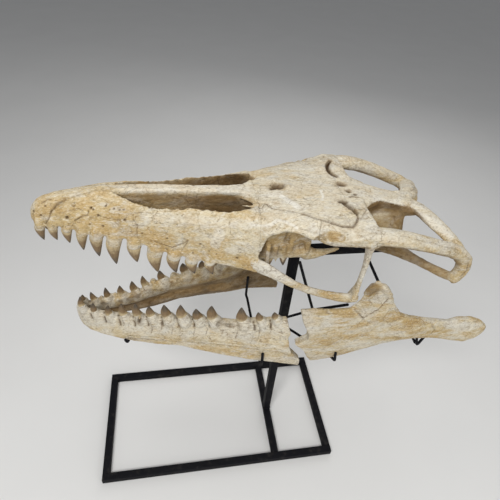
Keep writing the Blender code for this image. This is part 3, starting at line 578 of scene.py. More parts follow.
# raised rims and knots: place, width and height in millimetres, whether on both sides
LUMPS = [
    ((60.6, -7.2, 86.1), 11, 3, False), ((28.9, 5.5, 85.8), 9, 2, True), ((45.8, -3, 86.4), 8, 3.4, False),
    ((48.4, -0.6, 86.4), 8, 2.6, False), ((45.4, 1.4, 86.4), 9, 2.6, False),
    ((42, -1.2, 86.4), 8, 2.2, False), ((57.2, 7.5, 86.1), 10, 2.6, True),
    ((61.4, -0.9, 86), 6, 2.2, False), ((58.8, 1.6, 86.1), 8, 2, False), ((61.8, 4.6, 86), 9, 2.4, True),
    ((56.6, -8, 86), 10, 2.2, False)]
# repairs in pale plaster: path, half width in millimetres and amount
REPAIRS = [
    ([(46.1, 2.7, 86.3), (46.9, 3.7, 86.3), (47.8, 4.9, 86.2), (48.7, 6.1, 86.1)], 6, 0.95),
    ([(39.4, 8.6, 84.4), (40.8, 9.1, 84.3), (42.5, 9.4, 84.4), (43.5, 9.2, 84.9), (44.4, 8.9, 85.3),
     (45.8, 9.5, 85.3), (46.7, 10.2, 85.1), (47.5, 10.9, 84.9)], 3, 0.7),
    ([(54.6, 1.3, 86.2), (54.5, 2.9, 86.2), (53.9, 4.3, 86.2)], 3, 0.85),
    ([(34, 8, 82.3), (33.6, 8.1, 80.8), (33.2, 8.1, 79.4)], 10, 0.55),
    ([(21, 5.4, 84.3), (24, 5.7, 84), (28, 6.2, 84.2), (31.5, 6.8, 84), (36, 7.8, 84), (39, 8.4, 84.2)], 9,
     0.28),
    ([(76, 13.8, 83.6), (80, 13, 81.6), (84, 13, 78)], 7, 0.4),
    ([(67, 5.6, 85.6), (71, 6.2, 85), (76, 8, 84), (80, 10.4, 82.4)], 11, 0.5),
    ([(42.3, 11, 79.5), (43.4, 9.4, 77.5), (43.4, 9.2, 75)], 4, 0.7)]
# ochre patches: place, reach along d, w and z in centimetres, amount, whether on both sides
WARM = [
    ((45.6, 0, 86.4), (2.4, 2.2, 1), 0.9, False), ((42.4, 7.6, 85.5), (1.6, 1.6, 1.5), 0.8, False),
    ((31, 7, 83), (3.4, 2, 0.9), 0.6, False), ((47, 1, 86.4), (5, 2.4, 1.5), 0.5, False),
    ((61.5, 14.6, 81), (1.2, 1.6, 2.2), 0.7, True), ((49.8, 12.6, 71.4), (2.6, 1.6, 1), 0.8, True),
    ((56.5, 12.8, 68.9), (2.4, 1.6, 0.9), 0.7, True), ((77, 12.5, 80.6), (4, 1.6, 0.8), 0.5, True),
    ((22.5, 5.6, 81), (3, 2, 1.6), 0.7, True), ((58.5, 1, 86), (1.5, 2.5, 1), 0.5, True)]


def skull_features(s, name):
    """Sutures, pits, repairs, stains and painted shade of the bones of the skull itself."""
    for path, width, depth, both, dark, *lip in GROOVES:
        if s.reaches(path, both):
            s.groove(path, width, depth, both, dark, *lip)
    for spot, width, depth, both in PITS:
        if s.reaches([spot], both):
            s.pit(spot, width, depth, both, stretch=1.3)
    for spot, width, height, both in LUMPS:
        if s.reaches([spot], both, 0.03):
            s.lump(spot, width, height, both)
    for path, width, amount in REPAIRS:
        if s.reaches(path, False, 0.03):
            r = s.near(path, False) / (width * MM) + 0.5 * s.fbm(0.014, 4, 57)
            s.mask("plaster", amount * soft(r, 1.3, 0.75))
            s.shift += 0.0003 * soft(r, 1.15, 0.9)
    # a scooped break along the rear of each orbit's upper rim
    scoop = s.near([(51.3, 13.05, 83.65), (52.8, 13, 84.2), (54.8, 13.5, 84.3)], True) / 0.0092
    scoop += 0.22 * s.fbm(0.016, 3, 58)
    s.shift -= 0.006 * soft(scoop, 1.12, 0.72)
    s.mask("ochre", 0.9 * soft(scoop, 1.15, 0.95))
    s.mask("brown", (0.28 + 0.3 * s.fbm(0.01, 2, 59)) * soft(scoop, 1, 0.8))
    for spot, reach, amount, both in WARM:
        if s.reaches([spot], both, 0.08):
            s.patch("ochre", spot, reach, amount, both)
    side = np.abs(s.w)
    ridge = table(RIDGE, s.d)
    snout = soft(s.d, 18, 8)
    s.mask("plaster", 0.45 * soft(s.d, 15, 18) * soft(s.d, 42, 40) * soft(ridge - s.z, 0.9, 0.5)
           * soft(side, 2.6, 2))
    # the snout is pocked, its foramina running lengthwise, with painted shade in the deepest pocks
    pocks = s.fbm((0.011, 0.0065, 0.0065), 2, 61)
    s.shift -= 0.0009 * snout * soft(pocks, 0.4, 0.8)
    s.mask("crack", 0.3 * snout * soft(pocks, 0.55, 0.9))
    edge = s.d + 4.5 * s.fbm(0.07, 4, 72)
    s.mask("ochre", (0.35 + 0.62 * soft(ridge - s.z, 0.4, 2.4)) * soft(edge, 24.5, 16.5))
    # painted top light: faces turned up on the rear of the skull are paler, broken into patches by noise
    s.mask("pale_and_highlight", 0.64 * soft(s.n[:, 2], 0.1, 0.6) * soft(s.d + 3 * s.fbm(0.05, 3, 75), 39, 45)
           * soft(s.z, 80, 82) * soft(s.fbm((0.06, 0.03, 0.03), 3, 76), -0.7, 0.15))
    blotches = s.fbm((0.055, 0.028, 0.028), 4, 74)
    s.mask("ochre", 0.75 * soft(blotches, -0.15, 0.35) * soft(s.d, 42, 30) * soft(ridge - s.z, 1.5, 3.5))
    # tooth bases swell the margins
    if "maxilla" in name:
        for d, w, z, _, _, _, radius in UPPER:
            p = s.folded - at(d, w + 0.5, z + 1)
            r = np.linalg.norm(p / (np.array((radius, 1.2, 1.7)) * CM), axis=1)
            s.shift += 0.0012 * np.exp(-r * r)
        margin = table(MARGIN_Z, s.d)
        s.mask("pale_and_highlight", 0.62 * soft(s.z - margin, 0.5, -0.5) * soft(s.fbm(0.013, 3, 73), -0.6, 0.1))
        s.mask("ochre", 1.1 * soft(s.z - margin, 5, 1.8) * soft(s.z - margin, -0.8, 0.3) * soft(s.d, 2, 8)
               * soft(s.fbm((0.05, 0.03, 0.03), 3, 71), -0.9, -0.1))
    s.skin.masks["pale_and_highlight"] *= soft(scoop, 0.95, 1.2)
    # zones painted brown: nostril troughs, orbit walls and braincase, partly stain and partly painted shade;
    # undersides, painted shade
    up = s.n[:, 2]
    wander = 0.22 * s.fbm(0.03, 3, 31)
    outer = table(NARIS_OUTER, s.d)
    trough = (soft(side, outer + 0.5, outer - 0.1) * soft(ridge - s.z, 0.5, 1.4)
              * soft(s.z, 77.5, 79.5) * soft(s.d, 14.6, 15.8) * soft(s.d, 43.4, 42.2))
    inner = soft(s.n[:, 1] * np.sign(s.w), 0.15, 0.5)
    trough = np.maximum(trough, inner * soft(side, outer + 1.4, outer + 0.9) * soft(s.z, 77.5, 79.5)
                        * soft(side, 2, 2.8) * soft(s.d, 17.5, 19.5) * soft(s.d, 43, 41.5))
    if name == "frontal":
        splint = s.near([(43, 5, 85), (41, 4, 84.9), (38.6, 2.8, 85)], True)
        trough = trough * soft(splint, 0.008, 0.012)
    streaks = 0.3 * s.fbm((0.05, 0.012, 0.012), 3, 35)
    s.mask("brown", trough * (0.8 + wander + 1.3 * streaks) * (0.6 + 0.54 * soft(s.d, 22, 36)))
    s.mask("ochre", trough * soft(s.d, 30, 20))
    s.mask("crack", 0.45 * trough * soft(s.d, 26, 36) * soft(ridge - s.z, 1, 3))
    orbit = (soft(s.z, 84.6, 83.6) * soft(side, 10.6, 9.6) * soft(s.d, 41, 42)
             * soft(s.d, 60.5, 58) * soft(s.z, 74, 76.5))
    case = soft(side, 8, 6.6) * soft(s.z, 84.6, 83.4) * soft(s.d, 60, 62.5) * soft(s.d, 77, 74.5)
    case = case * soft(up, 0.8, 0.45)
    case = np.maximum(case, soft(side, 6.4, 5.2) * soft(up, 0.75, 0.4) * soft(s.d, 62, 63.5)
                      * soft(s.d, 76, 74) * soft(s.z, 85.4, 84.8))
    if name.startswith(("palatine", "pterygoid")):
        comb = orbit * soft(s.z, 73.5, 75) * soft(s.d, 54, 52.5)
        ribs = fbm(warped(s.p, 0.002, 0.02, 41), (0.0085, 0.03, 0.05), 3, 42)
        s.shift += 0.0021 * comb * ribs
        # painted shade between the comb's ribs
        s.mask("crack", 0.55 * comb * soft(ribs, -0.25, -0.7))
        s.mask("brown", comb * (0.15 + wander + 0.3 * soft(s.z, 79.5, 76)))
        s.mask("ochre", comb)
        orbit = orbit * soft(s.d, 51, 53)
    s.mask("brown", orbit * (0.42 + wander))
    s.mask("ochre", orbit * 0.8)
    s.mask("brown", case * (0.7 + 1.3 * wander + 0.3 * soft(s.z, 81, 83.5)))
    s.mask("ochre", case)
    # painted shade on faces turned downward
    underside_shade = soft(up, -0.05, -0.65) * soft(s.d, 44, 58)
    s.mask("brown", underside_shade * (0.62 + wander))
    if name.startswith("paroccipital"):
        s.mask("brown", np.clip(0.7 + wander, 0, 1) * soft(s.d, 83.5, 81.5) * soft(s.z, 81.6, 79.8))
    if name.startswith("squamosal"):
        s.mask("ochre", 0.8 * soft(s.z, 78.5, 75) * soft(s.fbm(0.03, 3, 33), -0.6, 0.3))
    if name.startswith("jugal"):
        s.mask("pale_and_highlight", 0.9 * soft(s.z, 71.5, 73.5) * soft(s.fbm(0.03, 3, 36), -0.7, 0))
        s.mask("plaster", 0.35 * soft(s.z, 71.5, 73.5))
        s.mask("ochre", 0.7 * soft(s.fbm((0.05, 0.02, 0.02), 3, 34), 0, 0.5))


WIDE_GAP = 4.2              # teeth further apart than this many centimetres have an empty socket between them
# the ridge along a dentary's base
BASE_RIDGE = [
    (13.9, 5.1, 49.6), (23.4, 7.5, 50.4), (32.4, 9.8, 51.1), (40.9, 11.8, 51.1), (48.1, 13.2, 50.5),
    (54, 13.6, 49.6)]


def dentary_features(s, name):
    """Sockets, creases and colours of the tooth-bearing bone of either jaw."""
    near = name.endswith("left")
    rows = LOWER_LEFT if near else LOWER_RIGHT
    outwards = soft(-s.n[:, 1] * np.sign(s.w), -0.3, 0.2)
    for d, w, z, _, _, _, radius in rows:
        p = s.folded - at(d + 0.2, w + 0.2, z - 0.9)
        r = np.linalg.norm(p / (np.array((radius * 0.95, 1.7, 1.9)) * CM), axis=1)
        s.shift += 0.0012 * np.exp(-r ** 3)
        r += 0.35 * s.fbm(0.016, 3, 81)
        s.mask("pale_and_highlight", (0.95 if near else 0.8) * soft(r, 1.7, 0.9))
        # a pit at the inner foot of each tooth
        s.pit((d + 0.9, w - radius * 0.9, z - 0.7), 4, 3.6, True, 0.6)
    # a notch between neighbouring teeth
    for a, b in zip(rows, rows[1:]):
        if b[0] - a[0] < WIDE_GAP:
            d, z = 0.5 * (a[0] + b[0]) + 0.2, 0.5 * (a[2] + b[2])
            outer = table(DENTARY_W, d) - 0.5
            s.groove([(d, outer - 1.2, z - 0.3), (d, outer, z - 0.7), (d + 0.1, outer + 0.4, z - 1.9)],
                     2.2, 2.6, True, 0.6)
    if near:
        s.groove([(17.2, 4.2, 57), (17.1, 4.8, 56.2), (16.8, 5.3, 55.2)], 4.2, 6, False, 0.8)
    # creases running down from the gum line
    for d, z, drop in ((13.2, 54.6, 1.2), (15.6, 55, 1.4), (19.4, 55, 2.6), (21.6, 55.6, 1.8),
                       (23.9, 55.6, 2.6), (25.6, 56, 2.2), (28.8, 56.2, 2.8), (31.5, 56.4, 2.4),
                       (34.9, 56.4, 1.8), (37.9, 56.4, 3), (42.7, 57.4, 3.4), (45.2, 58.6, 2.4)):
        outer = table(DENTARY_W, d)
        s.groove([(d, outer - 0.2, z + 0.6), (d + 0.25, outer, z - 0.4 * drop),
                  (d - 0.15, outer + 0.3, z - drop)], 0.8, 1.2, True, 0.55)
    # the empty socket of the left jaw
    if near:
        s.groove([(34.6, 9.9, 58), (35.8, 10.2, 58), (37.2, 10.5, 58.1)], 6, 6, False, 0.3)
        s.groove([(34.5, 10.3, 57.2), (35.8, 10.6, 57.1), (37.3, 10.9, 57.2)], 1.6, 1.6, False, 0.5)
    edge = table(JAW_EDGE, s.d)
    blot = s.fbm(0.035, 3, 82)
    s.mask("pale_and_highlight", 0.85 * outwards * soft(edge - s.z, 5.6, 2.6) * soft(blot, -0.7, 0.1))
    s.groove(BASE_RIDGE, 2.2, 0.9, True, 0.22, lip=0.7)
    s.groove([(d, w, z + 0.9) for d, w, z in BASE_RIDGE], 1.2, 0.5, True, 0.2, lip=0.3)
    inward = 1 - outwards
    s.mask("brown", inward * soft(edge - s.z, 1.8, 3.6) * (0.85 + 0.25 * s.fbm((0.06, 0.014, 0.014), 3, 83)))
    s.mask("brown", 0.36 * inward * soft(edge - s.z, 0.2, 1.6))
    s.mask("pale_and_highlight", 0.6 * outwards * soft(s.d, 15, 19) * soft(s.fbm((0.1, 0.012, 0.012), 3, 88), -0.1, 0.3))
    s.mask("ochre", 0.7 * outwards * soft(s.z, 50.4, 49.2)
           * soft(s.fbm((0.06, 0.02, 0.02), 3, 84), -0.6, 0.2))
    s.mask("ochre", 0.6 * outwards * soft(s.fbm(0.04, 3, 85), 0.15, 0.6))
    if not near:
        s.shift += 0.0022 * s.fbm(0.013, 2, 86) * soft(edge - s.z, 3.4, 1.2)
        # painted shade in the dents of the far jaw's rough upper edge
        s.mask("brown", 0.6 * soft(s.fbm(0.013, 2, 86), 0, -0.5) * soft(edge - s.z, 3.4, 1.6))
        s.mask("ochre", soft(s.fbm(0.03, 3, 87), -0.3, 0.3) * soft(edge - s.z, 4, 2))


DENTARY_W = [
    (3.2, 1.1), (5.4, 2.2), (8, 3.1), (11, 4.1), (15, 5.2), (20, 6.5), (26, 8.2), (32, 9.6), (38, 11),
    (43.5, 12.4), (48, 13.1), (54, 13.5)]


def rear_jaw_features(s, name):
    """Lengthwise bands, splits and pale scars of the rear half of the left jaw."""
    p = warped(s.p, 0.009, 0.05, 91)
    bands = fbm(p, (0.085, 0.022, 0.018), 4, 92)
    s.shift += 0.0009 * bands
    split = np.abs(fbm(warped(s.p, 0.004, 0.05, 93), (0.2, 0.03, 0.022), 2, 94))
    crack = np.exp(-(split / 0.022) ** 2)
    s.shift -= 0.0008 * crack
    s.mask("crack", 0.14 * crack)
    s.mask("ochre", 0.95 * soft(bands, -0.02, 0.28))
    s.mask("brown", 0.3 * soft(bands, 0.35, 0.75))
    s.mask("pale_and_highlight", 0.8 * soft(bands, -0.1, -0.38))
    s.mask("pale_and_highlight", 0.85 * soft(s.d + 3 * s.fbm(0.04, 3, 95), 57, 53.5) * soft(s.z, 55.5, 57.5))
    for spot in ((90.5, 13, 55.4), (95, 13.2, 54), (91.8, 13.2, 53.6)):
        s.patch("pale_and_highlight", spot, (0.9, 1.5, 0.9), 0.9)
    s.patch("ochre", (60.5, 13.3, 60), (2.2, 1.6, 2), 1)
    s.groove([(63.4, 12.6, 62.9), (65.7, 13.2, 60.6), (68.9, 12.6, 62.3), (70.3, 12.4, 65.1),
              (71.1, 12.2, 65.8)], 1.3, 1.6, True, 0.55, 0.8)
    s.groove([(84, 12.9, 55.8), (85.4, 13.3, 54.2), (84.6, 13.3, 52.2)], 1.4, 1, False, 0.3)
    s.groove([(56.6, 13.4, 63), (60, 13.4, 62.2), (63.6, 13.4, 62)], 0.8, 0.8, False, 0.4)
    if name.startswith("coronoid"):
        s.patch("brown", (65.9, 12.4, 69), (1.5, 1.7, 2), 0.7)
        s.patch("ochre", (66, 12.4, 69), (2.2, 1.9, 2.6), 1)
        s.patch("pale_and_highlight", (68.6, 12.2, 67.4), (1.6, 1.5, 3.4), 0.8)
        s.groove([(67.2, 12.3, 70.6), (67.6, 12.4, 68.4), (66.6, 12.5, 66.2)], 0.8, 0.8, False, 0.4)


# tables shared with the solids
RIDGE = [
    (0, 83.2), (0.6, 84.4), (1.6, 85.4), (3.2, 86), (5.6, 86.6), (12.8, 87.6), (21.7, 87.4), (37.6, 86.6),
    (45.3, 86.5), (60.2, 86), (66, 85.3), (72.7, 83.6), (75.8, 82.5)]
NARIS_OUTER = [
    (15.2, 1.3), (17.8, 2.9), (20, 3.9), (25, 4.5), (30.7, 5.2), (35.4, 6.1), (38, 6.1), (40.5, 5.8),
    (42.6, 4.9)]
# teeth: d, w, z of the base, d, w, z of the tip and the base's radius along the jaw
UPPER = [
    (1.5, 1.6, 80.9, 1.3, 1.6, 77, 0.95), (3.9, 2.3, 81.3, 3.9, 2.4, 77.5, 0.95),
    (6.5, 2.8, 81.2, 6.2, 3.1, 77.2, 1), (9.1, 3.3, 80.5, 8.5, 3.6, 75.7, 1.1),
    (11.7, 3.9, 80.2, 11.3, 4.4, 74.6, 1.25), (14.9, 4.3, 79.7, 14.3, 4.9, 72.9, 1.45),
    (18.4, 4.7, 78.6, 18.3, 5.5, 73.6, 1.45), (22.2, 5.1, 77.1, 22.1, 6, 71.1, 1.6),
    (25.7, 5.7, 76, 25.7, 6.5, 71.1, 1.4), (29.1, 6.4, 75.2, 29.3, 7.1, 71.2, 1.35),
    (32.4, 7.1, 74.8, 32.9, 7.9, 71.5, 1.1)]
PALATE_TEETH = [
    (44.8, 6.2, 75.4, 44.6, 6.1, 70.8, 1), (48, 5.9, 75.2, 47.8, 5.8, 70.9, 1),
    (52, 5.4, 75.2, 52.2, 5.3, 72.4, 0.95)]
LOWER_LEFT = [
    (4.7, 1, 56.4, 4.6, 1, 60.1, 0.8), (7.3, 1.8, 55.6, 7.2, 2, 58.9, 0.8),
    (10.6, 2.7, 55.2, 10.4, 2.8, 58.7, 0.9), (13.8, 3.4, 55.2, 13.4, 3.5, 59.8, 1),
    (17.1, 4.3, 55.8, 16.6, 4.5, 60.6, 1.1), (20, 5.2, 56.6, 19.4, 5.3, 60.4, 1.1),
    (23.5, 6.2, 57.2, 22.7, 6.4, 61.7, 1.2), (26.9, 7.2, 57.7, 26.2, 7.5, 62.6, 1.3),
    (30.2, 7.7, 57.8, 29.4, 8, 61.4, 1.2), (33.4, 8.3, 57.9, 32.7, 8.6, 62.8, 1.35),
    (39.7, 9.8, 58.4, 38.9, 10.1, 63.3, 1.35), (43.4, 10.7, 59.4, 42.4, 10.9, 62.3, 0.95),
    (46.6, 11.4, 60.4, 45.8, 11.5, 62.8, 0.9)]
LOWER_RIGHT = [
    (4.7, 1, 56.4, 4.6, 1, 58.6, 0.8), (6.9, 1.8, 55.6, 6.2, 1.8, 58.4, 0.8),
    (10, 2.6, 55.2, 9.3, 2.8, 58.6, 0.9), (13, 3.3, 55.2, 12.4, 3.5, 58.2, 1),
    (15.8, 4, 55.4, 15.2, 4.1, 58.9, 1), (18.4, 4.8, 56.2, 17.6, 4.9, 59.6, 1),
    (22.4, 5.9, 57, 21.6, 6.1, 59.9, 1.1), (27.9, 7.5, 57.7, 27.1, 7.7, 60.5, 1.2),
    (32.4, 8.2, 57.9, 31.8, 8.4, 60.2, 1.1), (35.6, 8.9, 57.9, 34.9, 9, 60, 1.1)]


# ---- materials
class Nodes:
    """Short calls for building a node material."""

    def __init__(self, name):
        self.material = bpy.data.materials.new(name)
        self.material.use_nodes = True
        self.tree = self.material.node_tree
        self.shader = self.tree.nodes["Principled BSDF"]
        self.place = self.tree.nodes.new("ShaderNodeTexCoord").outputs["Object"]

    def new(self, kind, inputs=(), **settings):
        """A node with its settings, and a value or a link for each input named."""
        node = self.tree.nodes.new("ShaderNode" + kind)
        for key, value in settings.items():
            setattr(node, key, value)
        for key, value in dict(inputs).items():
            self.link(value, node.inputs[key])
        return node

    def link(self, value, socket):
        if isinstance(value, bpy.types.NodeSocket):
            self.tree.links.new(value, socket)
        else:
            socket.default_value = value

    def shaded(self, inputs):
        """The finished material, with values or links for the shader's inputs."""
        for key, value in inputs.items():
            self.link(value, self.shader.inputs[key])
        return self.material

    def math(self, operation, *values):
        return self.new("Math", enumerate(values), operation=operation).outputs[0]

    def times(self, a, b):
        return self.math("MULTIPLY", a, b)

    def clamped(self, a, b):
        """The product of two values, kept between 0 and 1."""
        return self.new("Math", {0: a, 1: b}, operation="MULTIPLY", use_clamp=True).outputs[0]

    def attribute(self, name):
        return self.new("Attribute", attribute_name=name).outputs["Fac"]

    def noise(self, scale, detail, rough, stretch=(1, 1, 1), warp=0.0, offset=0.0):
        place = self.new("Mapping", {"Vector": self.place, "Scale": stretch,
                                     "Location": (offset, offset * 1.7, offset * 0.6)})
        return self.new("TexNoise", {"Vector": place.outputs[0], "Scale": scale, "Detail": detail,
                                     "Roughness": rough, "Distortion": warp}).outputs["Fac"]

    def step(self, value, low, high, top=1.0):
        """0 below low, rising smoothly to top above high."""
        return self.new("MapRange", {"Value": value, "From Min": low, "From Max": high, "To Max": top},
                        interpolation_type="SMOOTHSTEP").outputs["Result"]

    def blend(self, factor, below, above):
        below, above = [(*colour, 1) if isinstance(colour, tuple) else colour for colour in (below, above)]
        return self.new("Mix", {"Factor": factor, 6: below, 7: above}, data_type="RGBA").outputs[2]

    def over(self, colour, *layers):
        """The colour with layers over it, each a factor and a colour."""
        for factor, above in layers:
            colour = self.blend(factor, colour, above)
        return colour

    def lines(self, scale, width, detail, stretch, warp, offset):
        """Thin wandering lines where a noise crosses its middle, 1 on the line."""
        value = self.noise(scale, detail, 0.5, stretch, warp, offset)
        away = self.math("ABSOLUTE", self.math("SUBTRACT", value, 0.5))
        return self.step(self.math("SUBTRACT", width, away), 0.0, width)

    def cells(self, scale, width, warp, offset):
        """Cracks between wandering cells, 1 on the crack."""
        shift = self.new("TexNoise", {"Vector": self.place, "Scale": scale * 0.8, "Detail": 3.0})
        place = self.new("Mapping", {"Vector": self.place, "Location": (offset,) * 3})
        moved = self.new("VectorMath", {0: shift.outputs["Color"], 1: (warp,) * 3, 2: place.outputs[0]},
                         operation="MULTIPLY_ADD")
        cell = self.new("TexVoronoi", {"Vector": moved.outputs[0], "Scale": scale},
                        feature="DISTANCE_TO_EDGE")
        return self.step(cell.outputs["Distance"], width, 0.0)

    def bump(self, height, strength, distance):
        inputs = {"Height": height, "Strength": strength, "Distance": distance}
        return self.new("Bump", inputs).outputs["Normal"]


def srgb(r, g, b):
    """A colour from 8-bit display values."""
    def linear(v):
        v /= 255
        return v / 12.92 if v <= 0.04045 else ((v + 0.055) / 1.055) ** 2.4
    return (linear(r), linear(g), linear(b))


CREAM = srgb(212, 198, 166)
GREY_CREAM = srgb(200, 190, 166)
SAND = srgb(194, 172, 126)
OCHRE = srgb(178, 150, 100)
BROWN = srgb(136, 109, 70)
UMBER = srgb(92, 70, 42)
DARK = srgb(58, 38, 16)
PALE = srgb(214, 207, 190)
PLASTER = srgb(224, 219, 206)


def bone_material():
    m = Nodes("fossil_bone_surface")
    broad = m.noise(9, 4, 0.6, warp=0.4)
    patches = m.noise(24, 5, 0.62, (0.45, 1, 1), 0.5, 3.1)
    mottle = m.noise(95, 5, 0.7, (0.55, 1, 1), 0.3, 1.3)
    grain = m.noise(480, 3, 0.6, (0.4, 1, 1), offset=7.7)
    chips = m.noise(140, 4, 0.62, (0.6, 1, 1), 0.6, 14.9)
    tint = m.noise(50, 4, 0.6, (0.45, 1, 1), 0.6, 17.3)
    dark_chips, light_chips = m.step(chips, 0.52, 0.68), m.step(chips, 0.46, 0.32)
    warm = m.clamped(m.attribute("ochre"), m.math("MULTIPLY_ADD", mottle, 1.1, 0.42))
    # the brown laid by the brown mask, partly stain and partly painted shade of recesses and undersides
    stain_and_shade = m.clamped(m.attribute("brown"), m.math("MULTIPLY_ADD", mottle, 0.6, 0.7))
    stain = m.over(BROWN, (m.step(patches, 0.62, 0.36), UMBER),
                   (m.times(light_chips, 0.3), srgb(166, 138, 94)),
                   (m.times(dark_chips, 0.4), srgb(80, 58, 32)))
    scratches = m.times(m.lines(34, 0.011, 4, (0.6, 1, 1), 0.9, 5.5),
                        m.step(m.noise(13, 2, 0.5, offset=12.3), 0.42, 0.58, 0.6))
    crackle = m.times(m.cells(27, 0.03, 0.045, 3.3),
                      m.step(m.noise(19, 4, 0.6, offset=21.7), 0.5, 0.6, 0.42))
    specks = m.step(m.noise(190, 2, 0.5, offset=9.1), 0.67, 0.75, 0.5)
    colour = m.over(
        CREAM, (m.step(broad, 0.38, 0.62), GREY_CREAM), (m.step(patches, 0.44, 0.66, 0.6), SAND),
        (warm, m.blend(m.step(patches, 0.35, 0.7), SAND, OCHRE)),
        (m.step(tint, 0.5, 0.6, 0.5), srgb(190, 158, 102)),
        (m.times(m.attribute("pale_and_highlight"), m.step(mottle, 0.28, 0.5)), PALE),
        (m.step(tint, 0.48, 0.4, 0.42), srgb(208, 205, 196)),
        (m.step(mottle, 0.46, 0.26, 0.34), srgb(234, 228, 212)),
        (m.times(light_chips, 0.26), srgb(236, 231, 216)),
        (m.step(mottle, 0.5, 0.74, 0.4), srgb(150, 124, 82)),
        (m.times(dark_chips, 0.3), srgb(142, 114, 72)),
        (m.times(m.attribute("plaster"), m.step(mottle, 0.22, 0.46)), PLASTER),
        (stain_and_shade, stain),
        (scratches, srgb(112, 84, 48)), (crackle, srgb(124, 98, 60)), (specks, UMBER),
        # painted shade in the skin's hollows; the crack mask's dark, which also holds painted shade in pits
        # and dents
        (m.attribute("hollow_shade"), srgb(112, 88, 54)), (m.attribute("crack"), DARK),
        (m.step(grain, 0.5, 0.72, 0.42), srgb(120, 92, 56)),
        (m.times(m.step(grain, 0.48, 0.3, 0.36), m.step(m.attribute("brown"), 0.5, 0.2)),
         srgb(240, 235, 220)))
    height = m.math("ADD", m.times(grain, 0.5), m.times(mottle, 1.8))
    height = m.math("SUBTRACT", height, m.times(chips, 1.5))
    height = m.math("SUBTRACT", height, m.times(m.math("MAXIMUM", scratches, crackle), 0.5))
    height = m.math("SUBTRACT", height, specks)
    return m.shaded({"Base Color": colour, "Roughness": m.math("MULTIPLY_ADD", mottle, 0.25, 0.62),
                     "Normal": m.bump(height, 0.8, 0.0022), "Specular IOR Level": 0.25})


def tooth_material():
    m = Nodes("tooth_enamel")
    mottle = m.noise(130, 5, 0.7, offset=2.2)
    broad = m.noise(45, 3, 0.6, offset=6.2)
    streak = m.noise(280, 3, 0.6, (1, 1, 0.16), offset=4.4)
    height = m.math("ADD", m.attribute("rise"), m.times(m.math("SUBTRACT", mottle, 0.5), 0.35))
    height = m.math("ADD", height, m.times(m.math("SUBTRACT", broad, 0.5), 0.5))
    # cement, then enamel darkening towards the tip, streaked and chipped
    colour = m.over(
        srgb(214, 204, 182), (m.step(height, -0.15, 0.15), srgb(186, 167, 130)),
        (m.step(height, 0.24, 0.52), srgb(124, 101, 70)), (m.step(height, 0.58, 0.92), srgb(82, 72, 60)),
        (m.step(streak, 0.5, 0.7, 0.45), srgb(84, 64, 40)),
        (m.step(mottle, 0.58, 0.76, 0.4), srgb(192, 172, 134)))
    return m.shaded({"Base Color": colour,
                     "Roughness": m.math("SUBTRACT", 0.66, m.step(height, 0.2, 0.6, 0.28)),
                     "Normal": m.bump(m.math("ADD", streak, m.times(mottle, 1.5)), 0.5, 0.0008),
                     "Specular IOR Level": 0.4})


def steel_material():
    m = Nodes("black_painted_steel")
    broad = m.noise(22, 3, 0.5, offset=1.9)
    fine = m.noise(560, 2, 0.5, offset=6.1)
    colour = m.over(
        srgb(14, 14, 17), (broad, srgb(25, 25, 29)),
        (m.step(m.noise(60, 4, 0.6, offset=4.7), 0.5, 0.75, 0.12), srgb(110, 104, 94)),
        (m.step(m.noise(110, 4, 0.7, warp=0.5, offset=8.8), 0.68, 0.74, 0.5), srgb(104, 86, 58)))
    rough = m.new("MapRange", {"Value": broad, "To Min": 0.55, "To Max": 0.75}).outputs["Result"]
    height = m.math("ADD", m.times(fine, 0.6), m.times(broad, 0.6))
    return m.shaded({"Base Color": colour, "Roughness": rough, "Normal": m.bump(height, 0.3, 0.0004),
                     "Specular IOR Level": 0.1})


def floor_material():
    m = Nodes("studio_floor")
    colour = m.blend(m.noise(3, 3, 0.5), srgb(226, 225, 222), srgb(232, 231, 228))
    return m.shaded({"Base Color": colour, "Roughness": 0.9})


BONE = bone_material()
TOOTH = tooth_material()
STEEL = steel_material()


# ---- pieces
def piece(name, mesh, material, replaced):
    mesh.name = name
    mesh.materials.clear()
    mesh.materials.append(material)
    item = bpy.data.objects.new(name, mesh)
    bpy.context.scene.collection.objects.link(item)
    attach(item, "root")
    if replaced:
        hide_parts(*replaced)


def build_bones(names, voxel, rounds, features):
    """Sculpts a group of bones, all of them laid on their common skin."""
    common = remeshed(joined(*[BARE[name] for name in names]), voxel * COARSER)
    common.smooth(rounds)
    target = Target(common)
    for name in names:
        skin = remeshed(inflated(BARE[name], INFLATE), voxel)
        normals, weight = target.lay(skin)
        sculpt = Sculpt(skin, normals, weight, target.tree)
        weathered(sculpt)
        features(sculpt, name)
        sculpt.apply()
        # painted shade, darkest in the skin's hollows
        skin.mask("hollow_shade", 0.7 * soft(skin.hollow_shade(), *CONCAVE))
        piece("bone_" + name, skin.mesh(), BONE, [name])


PAIRED = ("maxilla", "prefrontal", "postorbitofrontal", "squamosal", "jugal", "paroccipital", "palatine",
          "pterygoid")
CRANIAL = []
for bone in ("premaxilla", "maxilla", "frontal", "prefrontal", "postorbitofrontal", "parietal", "squamosal",
             "jugal", "braincase", "paroccipital", "palatine", "pterygoid"):
    CRANIAL += [bone + "_left", bone + "_right"] if bone in PAIRED else [bone]
# names, voxel size, rounds of smoothing and features of each group of bones
GROUPS = [(CRANIAL, SKULL_VOXEL, 45, skull_features),
          (["dentary_left"], JAW_VOXEL, 40, dentary_features),
          (["dentary_right"], JAW_VOXEL, 40, dentary_features),
          (["postdentary_left", "coronoid_left"], JAW_VOXEL, 40, rear_jaw_features)]
